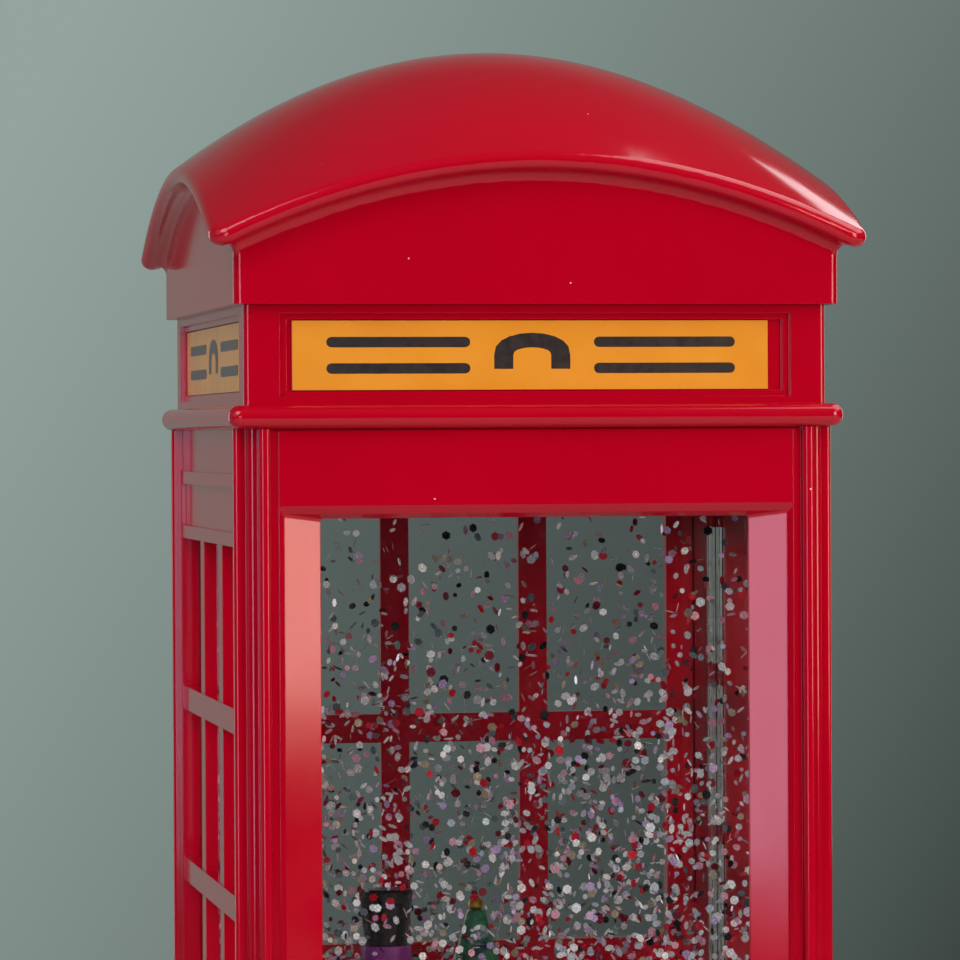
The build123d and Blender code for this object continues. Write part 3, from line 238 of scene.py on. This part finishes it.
RED_DUST = (4.5, 0.14, 0.2, "F0D6D2")
SIGN_DUST = (4.0, 0.10, 0.2, "F6DFA8")
BAUBLES = (3.0, 0.42, 0.3, "D2561C")
RED_SKIN = {"patch": 40, "peel": 2.2, "height": 0.003, "edge": 0.2, "dust": RED_DUST}
SIGN_SKIN = {"peel": 0.5, "height": 0.006, "dust": SIGN_DUST}
FIR_SKIN = {"patch": 2.6, "peel": 0.8, "height": 0.1, "dust": BAUBLES}
SNOW_SKIN = {"patch": 6, "peel": 0.8, "height": 0.12}
HAT_SKIN = {"patch": 3, "peel": 1.5, "height": 0.03}
BAND_SKIN = {"patch": 2, "peel": 0.5, "height": 0.02}
SCARF_SKIN = {"patch": 3, "peel": 0.7, "height": 0.06}
CARROT_SKIN = {"patch": 1.5, "peel": 0.5, "height": 0.03}
CASE_SKIN = {"peel": 0.5, "height": 0.01, "edge": 0.2}
FOOT_SKIN = {"patch": 3, "peel": 0.3, "height": 0.03}
BOARD_SKIN = {"patch": 8, "peel": 0.4, "height": 0.01}
MATERIALS = {
    # gloss ABS from a polished mould: deep colour, faint orange peel, pale dust held by static
    "red_abs": moulded("red_gloss_abs", "BC0022", "B6001F", (0.07, 0.12), **RED_SKIN),
    # printed vinyl film: even ink under a satin face
    "amber_sign": moulded("amber_printed_vinyl", "F0A030", "E89628", (0.16, 0.26), **SIGN_SKIN),
    # matt resin snow: faint blue-grey patches at random in white
    "snow_white": moulded("cast_resin_snow", "F2F3F5", "DDE2E8", (0.55, 0.8), **SNOW_SKIN),
    # brushed paints on resin: a soft gloss that pools, with brush marks a millimetre or so across
    "hat_black": moulded("hat_gloss_paint", "050506", "0C0A0E", (0.2, 0.35), **HAT_SKIN),
    "band_purple": moulded("hat_band_paint", "8E2C86", "6C1E70", (0.25, 0.45), **BAND_SKIN),
    "scarf_red": moulded("scarf_paint", "B3122A", "8E0E22", (0.35, 0.6), **SCARF_SKIN),
    "carrot_orange": moulded("carrot_paint", "E9721C", "C9550F", (0.35, 0.55), **CARROT_SKIN),
    # hand-painted resin: blue-green brushed over with lighter green, with dabs of orange for baubles
    "fir_green": moulded("fir_paint", "3F8A5A", "10333A", (0.2, 0.4), **FIR_SKIN),
    # gold lacquer: warm metal with a soft glint
    "tip_gold": metal("tip_gold_lacquer", "C9A24A", "A87F30", (0.25, 0.4)),
    # spark-eroded mould: black that stays satin from every side
    "black_abs": moulded("black_satin_abs", "141416", "1E1E20", (0.38, 0.52), **CASE_SKIN),
    # bare nylon and rubber: waxy cream, milky grey and dull charcoal
    "nylon_white": moulded("natural_nylon", "E9E6DC", "DAD6C8", (0.35, 0.5), patch=6, height=0.01),
    "seal_rubber": moulded("silicone_seal", "D9DAD6", "C8C9C4", (0.45, 0.6), patch=5, height=0.01),
    "foot_rubber": moulded("foot_rubber", "2A2A2B", "1E1E1F", (0.7, 0.9), **FOOT_SKIN),
    # plated and drawn metals: lines along the way they were drawn or ground break up the glint
    "zinc_screw": metal("zinc_plated_steel", "C9CBCF", "AEB2B8", (0.22, 0.38)),
    "tinned_steel": metal("tinned_steel", "CFD0CC", "B7B8B2", (0.25, 0.4), stretch=(1, 8, 1)),
    "motor_can": metal("drawn_steel_can", "B9BCC0", "9DA1A6", (0.2, 0.34), stretch=(1, 1, 9)),
    "shaft_steel": metal("ground_steel_shaft", "C6C8CB", "B2B4B8", (0.12, 0.22), stretch=(1, 1, 12)),
    "magnet_nickel": metal("nickel_plate", "C8C3B6", "B4AE9F", (0.16, 0.28)),
    # solder mask over glass fibre: green gloss with a faint weave
    "board_green": moulded("solder_mask_green", "1F6B3A", "185A30", (0.3, 0.42), **BOARD_SKIN),
    # silicone lens: pale straw with a wet gloss
    "led_white": moulded("led_lens_white", "F4F1E2", "E6E0C8", (0.15, 0.3), patch=2, height=0.005),
    # shrink sleeve: smooth charcoal film
    "cell_jacket": moulded("cell_jacket", "26282C", "33363B", (0.25, 0.35), patch=10, height=0.005),
}
SIGN_INK = moulded("sign_black_ink", "17120E", "221A14", (0.3, 0.42), patch=3, peel=0.4, height=0.004)
SLOT_NODES = {
    "red_abs": "roof_cap sign_band booth_shell front_frame grille_right grille_left grille_rear plinth",
    "amber_sign": "sign_front sign_right sign_rear sign_left",
    "snow_white": "snow_ground snowman",
    "hat_black": "snowman_hat snowman_coals",
    "band_purple": "hat_band",
    "scarf_red": "snowman_scarf",
    "carrot_orange": "snowman_nose",
    "fir_green": "fir_tree",
    "tip_gold": "tree_tip",
    "black_abs": "base_plate battery_box battery_door mechanism_deck switch_body switch_knob tank_base",
    "nylon_white": "magnet_rotor impeller fill_plug",
    "seal_rubber": "tank_seal",
    "foot_rubber": "rubber_feet",
    "zinc_screw": "roof_screws base_screws door_screw board_screws usb_socket",
    "tinned_steel": "battery_contacts battery_springs",
    "motor_can": "motor",
    "shaft_steel": "motor_shaft impeller_pin",
    "magnet_nickel": "rotor_magnets impeller_magnets",
    "board_green": "circuit_board led_board",
    "led_white": "led_chips",
    "cell_jacket": "aa_cells",
}


def dress(node, material):
    """Gives a carried-over CAD node its material in every slot."""
    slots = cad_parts[node].material_slots
    if not slots:
        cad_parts[node].data.materials.append(material)
    for slot in slots:
        slot.material = material


for slot_name, names in SLOT_NODES.items():
    for node_name in names.split():
        dress(node_name, MATERIALS[slot_name])


# ---- Glitter in the fluid -------------------------------------------------------------------
FLAKES = 7000
FLAKE_R = 0.8 * MM  # corner radius of the hexagon
FLAKE_T = 0.05 * MM
FLAKE_SCALE = (0.55, 1.1)  # smallest and largest flake, against that radius
FIGURE_GAP = 1.3 * MM  # from a flake's middle to the figures
CROWDED = 0.35  # share of the fluid's height that is full of flakes; above it they thin out evenly
GLITTER_SEED = 7
FIGURES = ("snowman", "snowman_hat", "snowman_scarf", "snowman_nose", "fir_tree", "snow_ground", "impeller")


def glitter_tree(film):
    """Geometry Nodes: hexagonal flakes scattered through a rounded tank, clear of the figures."""
    tree = bpy.data.node_groups.new("glitter_scatter", "GeometryNodeTree")
    sides = (
        ("Flakes", "NodeSocketInt"),
        ("Flake Radius", "NodeSocketFloat"),
        ("Flake Thickness", "NodeSocketFloat"),
        ("Low Corner", "NodeSocketVector"),
        ("High Corner", "NodeSocketVector"),
        ("Corner Radius", "NodeSocketFloat"),
        ("Crowded", "NodeSocketFloat"),
        ("Gap", "NodeSocketFloat"),
        ("Seed", "NodeSocketInt"),
    )
    tree.interface.new_socket("Geometry", in_out="INPUT", socket_type="NodeSocketGeometry")
    for name, kind in sides:
        tree.interface.new_socket(name, in_out="INPUT", socket_type=kind)
    tree.interface.new_socket("Geometry", in_out="OUTPUT", socket_type="NodeSocketGeometry")
    given = add(tree, "NodeGroupInput").outputs

    def seeded(step):
        return add(tree, "FunctionNodeIntegerMath", {0: given["Seed"], 1: step}, operation="ADD").outputs[0]

    def throw(low, high, step):
        sockets = {2: low, 3: high, "Seed": seeded(step)}
        return add(tree, "FunctionNodeRandomValue", sockets, data_type="FLOAT").outputs[1]

    def vector_throw(high, step):
        sockets = {0: (0, 0, 0), 1: (high,) * 3, "Seed": seeded(step)}
        return add(tree, "FunctionNodeRandomValue", sockets, data_type="FLOAT_VECTOR").outputs[0]

    # two throws about the bottom, folded upwards: even up to the crowded share, then thinning to none
    die = add(tree, "ShaderNodeSeparateXYZ", {0: vector_throw(1, 1)}).outputs
    second = throw(-1.0, 1.0, 5)
    wide = maths(tree, "MULTIPLY_ADD", given["Crowded"], 0.5, 0.5)
    first = maths(tree, "MULTIPLY_ADD", die[2], 2.0, -1.0)
    narrow = maths(tree, "MULTIPLY", second, maths(tree, "SUBTRACT", 1.0, wide))
    both = maths(tree, "ADD", maths(tree, "MULTIPLY", first, wide), narrow)
    sunk = maths(tree, "ABSOLUTE", both)
    share = add(tree, "ShaderNodeCombineXYZ", {0: die[0], 1: die[1], 2: sunk}).outputs[0]
    span = vectors(tree, "SUBTRACT", given["High Corner"], given["Low Corner"])
    spot = vectors(tree, "MULTIPLY_ADD", share, span, given["Low Corner"])
    points = add(tree, "GeometryNodePoints", {"Count": given["Flakes"], "Position": spot}).outputs[0]

    # outside the tank's rounded corners
    at = add(tree, "GeometryNodeInputPosition").outputs[0]
    corner = given["Corner Radius"]
    round_room = add(tree, "ShaderNodeCombineXYZ", {0: corner, 1: corner}).outputs[0]
    core = vectors(tree, "SUBTRACT", given["High Corner"], round_room)
    past = vectors(tree, "SUBTRACT", vectors(tree, "ABSOLUTE", at), core)
    past = vectors(tree, "MULTIPLY", vectors(tree, "MAXIMUM", past, (0, 0, 0)), (1, 1, 0))
    outside = maths(tree, "GREATER_THAN", vectors(tree, "LENGTH", past, result="Value"), corner)

    # inside a figure, or nearer to its skin than the gap
    figures = given["Geometry"]
    normal = add(tree, "GeometryNodeInputNormal").outputs[0]
    nearest = add(tree, "GeometryNodeSampleNearestSurface", {"Mesh": figures}, data_type="FLOAT_VECTOR")
    tree.links.new(normal, nearest.inputs["Value"])
    skin = add(tree, "GeometryNodeProximity", {0: figures}, target_element="FACES").outputs
    away = vectors(tree, "SUBTRACT", at, skin["Position"])
    facing = vectors(tree, "DOT_PRODUCT", away, nearest.outputs[0], result="Value")
    inside = maths(tree, "LESS_THAN", facing, 0.0)
    touching = maths(tree, "LESS_THAN", skin["Distance"], given["Gap"])
    blocked = maths(tree, "MAXIMUM", maths(tree, "MAXIMUM", inside, touching), outside)
    clear = add(tree, "GeometryNodeDeleteGeometry", {0: points, 1: blocked}, domain="POINT").outputs[0]

    size = {"Vertices": 6, "Radius": given["Flake Radius"], "Depth": given["Flake Thickness"]}
    hexagon = add(tree, "GeometryNodeMeshCylinder", size, fill_type="NGON").outputs[0]
    scatter = {"Points": clear, "Instance": hexagon, "Rotation": vector_throw(math.tau, 2)}
    scatter["Scale"] = throw(*FLAKE_SCALE, 3)
    copies = add(tree, "GeometryNodeInstanceOnPoints", scatter).outputs[0]
    tone = {"Geometry": copies, "Name": "flake_tone", "Value": throw(0.0, 1.0, 4)}
    toned = add(tree, "GeometryNodeStoreNamedAttribute", tone, data_type="FLOAT", domain="INSTANCE")
    solid = add(tree, "GeometryNodeRealizeInstances", {0: toned.outputs[0]}).outputs[0]
    done = add(tree, "GeometryNodeSetMaterial", {"Geometry": solid, "Material": film}).outputs[0]
    add(tree, "NodeGroupOutput", {0: done})
    return tree


def grown(host, tree, inputs, name):
    """Plain mesh piece from a Geometry Nodes tree run on a host object, which is then removed."""
    modifier = host.modifiers.new("grow", "NODES")
    modifier.node_group = tree
    sockets = {item.name: item.identifier for item in tree.interface.items_tree if item.in_out == "INPUT"}
    for label, value in inputs.items():
        modifier[sockets[label]] = value
    seen = host.evaluated_get(bpy.context.evaluated_depsgraph_get())
    mesh = bpy.data.meshes.new_from_object(seen)
    host.modifiers.remove(modifier)
    bpy.data.objects.remove(host)
    mesh.name = name
    piece = bpy.data.objects.new(name, mesh)
    bpy.context.scene.collection.objects.link(piece)
    return piece


def joined_copy(names, label):
    """Throwaway object with the meshes of several CAD nodes."""
    vertices, faces = [], []
    for name in names:
        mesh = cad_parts[name].data
        start = len(vertices)
        vertices += [v.co.copy() for v in mesh.vertices]
        faces += [[start + i for i in p.vertices] for p in mesh.polygons]
    mesh = bpy.data.meshes.new(label)
    mesh.from_pydata(vertices, [], faces)
    host = bpy.data.objects.new(label, mesh)
    bpy.context.scene.collection.objects.link(host)
    return host


def make_glitter():
    """Flakes all through the fluid, but none as low as the turning impeller."""
    low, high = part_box("fluid")
    margin = Vector((1, 1, 1)) * FLAKE_R
    low.z = max(low.z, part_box("impeller")[1].z + FIGURE_GAP)
    inputs = {
        "Flakes": FLAKES,
        "Flake Radius": FLAKE_R,
        "Flake Thickness": FLAKE_T,
        "Low Corner": low + margin,
        "High Corner": high - margin,
        "Corner Radius": TANK_CORNER - TANK_WALL - FLAKE_R,
        "Crowded": CROWDED,
        "Gap": FIGURE_GAP,
        "Seed": GLITTER_SEED,
    }
    glitter = grown(joined_copy(FIGURES, "figures"), glitter_tree(glitter_film_and_shade()), inputs, "glitter")
    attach(glitter, "housing")
    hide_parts("fluid")
    return glitter


# ---- Tank ----------------------------------------------------------------------------------
TANK_TOP_EDGE = 3.0 * MM
CORNER_STEPS = 14
EDGE_STEPS = 8


def rounded_square(half, corner, z, lean=0.0):
    """Ring of (point, normal) round a square with rounded corners, anticlockwise from above."""
    ring = []
    for turn, (sx, sy) in enumerate(((1, -1), (1, 1), (-1, 1), (-1, -1))):
        for i in range(CORNER_STEPS + 1):
            angle = math.radians(-90 + 90 * turn + 90 * i / CORNER_STEPS)
            out = Vector((math.cos(angle), math.sin(angle), 0))
            point = Vector((sx * (half - corner), sy * (half - corner), z)) + out * corner
            ring.append((point, out * math.cos(lean) + Vector((0, 0, math.sin(lean)))))
    return ring


def tank_skin(half, corner, edge, foot, head):
    """Rings of one skin of the tank, from its open foot over the rounded top edge."""
    rings = [rounded_square(half, corner, foot)]
    for i in range(EDGE_STEPS + 1):
        lean = math.radians(90 * i / EDGE_STEPS)
        pull = edge * (1 - math.cos(lean))
        rings.append(rounded_square(half - pull, corner - pull, head - edge + edge * math.sin(lean), lean))
    return rings


def make_tank():
    """Tank as a shell: an outer skin of clear styrene and an inner one wetted by the fluid.

    Each corner gets its exact normal, so that the flat walls bend light as flat walls do."""
    low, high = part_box("tank")
    half, wall = high.x, TANK_WALL
    outer = tank_skin(half, TANK_CORNER, TANK_TOP_EDGE, low.z, high.z)
    inner = tank_skin(half - wall, TANK_CORNER - wall, TANK_TOP_EDGE - wall, low.z, high.z - wall)
    count = len(outer[0])
    rings = outer[::-1] + inner
    vertices = [point for ring in rings for point, _ in ring]
    up = Vector((0, 0, 1))
    faces = [list(range(count)), [len(vertices) - 1 - i for i in range(count)]]
    normals = [up] * count + [-up] * count
    for row in range(len(rings) - 1):
        for i in range(count):
            j = (i + 1) % count
            corners = ((row, j), (row, i), (row + 1, i), (row + 1, j))
            faces.append([ring * count + spot for ring, spot in corners])
            if row == len(outer) - 1:
                normals += [-up] * 4
            else:
                side = 1 if row < len(outer) else -1
                normals += [rings[ring][spot][1] * side for ring, spot in corners]
    tank = new_piece("tank_clear", vertices, faces, clear_styrene(), "housing")
    tank.data.materials.append(wetted_face())
    for face in tank.data.polygons:
        face.use_smooth = True
        if max(face.vertices) >= len(outer) * count:
            face.material_index = 1
    tank.data.normals_split_custom_set(normals)
    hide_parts("tank")


# ---- Fir tree -------------------------------------------------------------------------------
FIR_SIDES = 72
FIR_TIERS = 4
FIR_TIP_R = 1.7 * MM
FIR_TRUNK_R = 3.2 * MM
FIR_FOOT = 4.0 * MM  # trunk, mostly sunk in the snow
TIER_RINGS = 10
FIR_RAGGED = 0.12  # how far the twigs at a skirt's hem stand out, against its radius
FIR_DROOP = 5.0 * MM
FIR_TUCK = 0.52  # top of a skirt, under the one above, against its hem
BRANCHES, TWIGS = 9, 22  # round a skirt


def make_fir():
    """Carved fir: skirts with ragged, drooping branches, each tucked under the one above."""
    low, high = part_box("fir_tree")
    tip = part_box("tree_tip")
    middle = (tip[0] + tip[1]) / 2
    span = high.x - middle.x - 0.4 * MM
    tall = high.z - low.z - FIR_FOOT
    tiers = []
    for tier in range(FIR_TIERS):
        wide = FIR_TIP_R + (span - FIR_TIP_R) * ((tier + 1) / FIR_TIERS) ** 0.9
        tuck = FIR_TIP_R if tier == 0 else wide * FIR_TUCK
        for ring in range(TIER_RINGS):
            share = ring / (TIER_RINGS - 1)
            z = high.z - tall * (tier + share) / FIR_TIERS
            radius = tuck + (wide - tuck) * share**1.15
            tiers.append((radius, z, FIR_RAGGED * share, tier * 1.7))
        tiers.append((wide * 0.5, high.z - tall * (tier + 0.97) / FIR_TIERS, 0.0, 0.0))
    tiers.append((FIR_TRUNK_R, low.z + FIR_FOOT * 0.9, 0.0, 0.0))
    tiers.append((FIR_TRUNK_R, low.z, 0.0, 0.0))
    vertices, faces = [], []
    for radius, z, ragged, turn in tiers:
        for side in range(FIR_SIDES):
            angle = math.tau * side / FIR_SIDES
            wave = math.cos(BRANCHES * angle + turn) * 0.7 + math.cos(TWIGS * angle + 3 * turn) * 0.3
            reach = radius * (1 - ragged + ragged * wave)
            drop = ragged * wave * FIR_DROOP
            x, y = middle.x + reach * math.cos(angle), middle.y + reach * math.sin(angle)
            vertices.append((x, y, z - drop))
    for row in range(len(tiers) - 1):
        for side in range(FIR_SIDES):
            beside = (side + 1) % FIR_SIDES
            a, b = row * FIR_SIDES, (row + 1) * FIR_SIDES
            faces.append([a + beside, a + side, b + side, b + beside])
    faces.append(list(range(FIR_SIDES)))
    faces.append([len(vertices) - 1 - i for i in range(FIR_SIDES)])
    fir = new_piece("fir_carved", vertices, faces, MATERIALS["fir_green"], "housing")
    for face in fir.data.polygons:
        face.use_smooth = len(face.vertices) == 4
    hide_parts("fir_tree")


# ---- Sign print -----------------------------------------------------------------------------
PRINT_T = 0.04 * MM  # ink and its film, on the face of the sign


def stadium(wide, high, steps=6):
    """Outline of a bar with round ends, about the origin."""
    radius = high / 2
    outline = []
    for end, start in ((1, -90), (-1, 90)):
        for i in range(steps + 1):
            angle = math.radians(start + 180 * i / steps)
            outline.append((end * (wide / 2 - radius) + radius * math.cos(angle), radius * math.sin(angle)))
    return outline


def handset(wide, high, steps=10):
    """Outline of a plain telephone handset lying on its back: an arched grip between two cups."""
    cup_w, foot, crown, grip = wide * 0.25, -high * 0.322, high * 0.52, high * 0.34
    outline = []

    def arch(half, rise, start, way):
        for i in range(steps + 1):
            angle = math.radians(start + way * 180 * i / steps)
            outline.append((half * math.cos(angle), rise * math.sin(angle) ** 0.8))

    arch(wide / 2, crown, 0, 1)
    outline.append((-wide / 2, foot))
    outline.append((-wide / 2 + cup_w, foot))
    arch(wide / 2 - cup_w, crown - grip, 180, -1)
    outline.append((wide / 2 - cup_w, foot))
    outline.append((wide / 2, foot))
    return outline


def print_shapes(wide, high):
    """Generic pictogram: a handset in the middle with plain bars on both sides."""
    shapes = [handset(wide * 0.16, high * 0.62)]
    for side in (-1, 1):
        for row, length in ((0.19, 0.3), (-0.19, 0.3)):
            middle = side * wide * (0.13 + length / 2)
            bar = stadium(wide * length, high * 0.15)
            shapes.append([(x + middle, y + high * row) for x, y in bar])
    return shapes


def make_print(node, ink):
    """Ink prism for every shape, standing on the outer face of one sign."""
    low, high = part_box(node)
    centre, size = (low + high) / 2, high - low
    if size.x > size.y:
        out = Vector((0, math.copysign(1, centre.y), 0))
        wide = size.x
    else:
        out = Vector((math.copysign(1, centre.x), 0, 0))
        wide = size.y
    across = Vector((0, 0, 1)).cross(out)
    depth = abs(out.dot(size)) / 2
    vertices, faces = [], []
    for outline in print_shapes(wide, size.z):
        count, start = len(outline), len(vertices)
        for lift in (0.0, PRINT_T):
            for x, y in outline:
                vertices.append(centre + out * (depth + lift) + across * x + Vector((0, 0, y)))
        faces.append([start + count + i for i in range(count)])
        faces.append([start + count - 1 - i for i in range(count)])
        for i in range(count):
            j = (i + 1) % count
            faces.append([start + i, start + j, start + count + j, start + count + i])
    return new_piece(node.replace("sign", "print"), vertices, faces, ink, "housing")


# ---- Stage ----------------------------------------------------------------------------------
AZIMUTH, ELEVATION, ROLL = math.radians(-10.2), math.radians(0.55), math.radians(-0.3)
DISTANCE = 0.787
LENS, SENSOR = 169.3, 36.0
AIM_X = -0.001
FLOOR_R = 0.9
LIGHT_SIDE = (-0.84, 0.15, 0.5)  # towards the lighter side of the room
BOOTH_MIDDLE = 0.16  # height that the lamps face
FLOOR_SIDES = 96


def outward(azimuth, elevation):
    """Unit vector from the object towards a place round it."""
    flat = math.cos(elevation)
    return Vector((math.sin(azimuth) * flat, -math.cos(azimuth) * flat, math.sin(elevation)))


def make_camera():
    data = bpy.data.cameras.new("camera")
    data.lens, data.sensor_width = LENS, SENSOR
    camera = bpy.data.objects.new("camera", data)
    bpy.context.scene.collection.objects.link(camera)
    back = outward(AZIMUTH, ELEVATION)
    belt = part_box("booth_shell")[1].z
    aim = Vector((AIM_X * math.cos(AZIMUTH), AIM_X * math.sin(AZIMUTH), belt - 9.0 * MM))
    camera.location = aim + back * DISTANCE
    camera.rotation_mode = "QUATERNION"
    camera.rotation_quaternion = back.to_track_quat("Z", "Y") @ Quaternion((0, 0, 1), ROLL)
    bpy.context.scene.camera = camera


def make_room():
    """Grey-green studio: lighter towards the upper left, with a dark side and ceiling to mirror."""
    world = bpy.data.worlds.new("studio")
    bpy.context.scene.world = world
    world.use_nodes = True
    tree = world.node_tree
    tree.nodes.clear()
    way = add(tree, "ShaderNodeTexCoord").outputs["Generated"]

    def towards(axis, start, end):
        along = vectors(tree, "DOT_PRODUCT", way, axis, result="Value")
        return spread(tree, along, 0.0, 1.0, start, end)

    seen = blended(tree, towards(LIGHT_SIDE, -0.17, 0.12), "2E3632", "94A49E")
    shaded = blended(tree, 1.0, seen, "D6D6D6", "MULTIPLY")
    front = blended(tree, towards((0.0, -1.0, 0.0), -0.2, 0.3), shaded, "121614")
    felt = blended(tree, towards((0.0, 0.0, 1.0), 0.1, 0.6), front, "4C5450")
    path = add(tree, "ShaderNodeLightPath").outputs
    rough_mirror = maths(tree, "SUBTRACT", path["Is Glossy Ray"], path["Is Singular Ray"], clamp=True)
    bent = blended(tree, 1.0, seen, "CCC8CC", "MULTIPLY")
    colour = blended(tree, path["Is Camera Ray"], blended(tree, rough_mirror, bent, felt), seen)
    light = add(tree, "ShaderNodeBackground", {"Color": colour, "Strength": 1.0}).outputs[0]
    add(tree, "ShaderNodeOutputWorld", {"Surface": light})


def softbox(name, azimuth, elevation, distance, wide, high, power, warmth="FFFFFF", through=False):
    """Rectangular lamp facing the middle of the booth; through says whether the clear tank shows it."""
    data = bpy.data.lights.new(name, "AREA")
    data.shape = "RECTANGLE"
    data.size, data.size_y = wide, high
    data.energy = power
    data.color = linear(warmth)[:3]
    lamp = bpy.data.objects.new(name, data)
    bpy.context.scene.collection.objects.link(lamp)
    back = outward(math.radians(azimuth), math.radians(elevation))
    lamp.location = Vector((0, 0, BOOTH_MIDDLE)) + back * distance
    lamp.rotation_mode = "QUATERNION"
    lamp.rotation_quaternion = back.to_track_quat("Z", "Y")
    lamp.visible_transmission = through


def make_floor():
    material, tree = new_material("pale_floor")
    where = place(tree)
    tint = blended(tree, spread(tree, grain(tree, where, 30.0, 4.0), 0.0, 1.0), "B4B7B3", "B1B4B0")
    shader = add(tree, "ShaderNodeBsdfPrincipled", {"Base Color": tint, "Roughness": 0.65})
    add(tree, "ShaderNodeOutputMaterial", {"Surface": shader.outputs[0]})
    turns = [math.tau * i / FLOOR_SIDES for i in range(FLOOR_SIDES)]
    rim = [(FLOOR_R * math.cos(turn), FLOOR_R * math.sin(turn), 0) for turn in turns]
    mesh = bpy.data.meshes.new("floor")
    mesh.from_pydata(rim, [], [list(range(FLOOR_SIDES))])
    mesh.materials.append(material)
    floor = bpy.data.objects.new("floor", mesh)
    bpy.context.scene.collection.objects.link(floor)


make_tank()
make_fir()
make_glitter()
for sign_name in SLOT_NODES["amber_sign"].split():
    make_print(sign_name, SIGN_INK)

bpy.context.scene.view_settings.view_transform = "Standard"
make_camera()
make_room()
make_floor()
softbox("overhead", 84, 52, 1.2, 1.1, 0.9, 8.8)
softbox("key", -34, 40, 1.2, 0.6, 0.6, 4.8)
softbox("front_left", -12, 4.0, 1.3, 0.34, 0.5, 2.6, "D8DEFF")
softbox("left_wide", -62, 30, 1.3, 0.8, 0.8, 1.0)
softbox("right_strip", 33.5, 12.0, 0.9, 0.24, 0.5, 3.2, "FFD8C6")
softbox("rear_right", 140, 15, 1.0, 0.2, 0.8, 1.2)
softbox("rear_left", -140, 4, 1.2, 0.25, 0.7, 2.0, "FFE6EE", through=True)
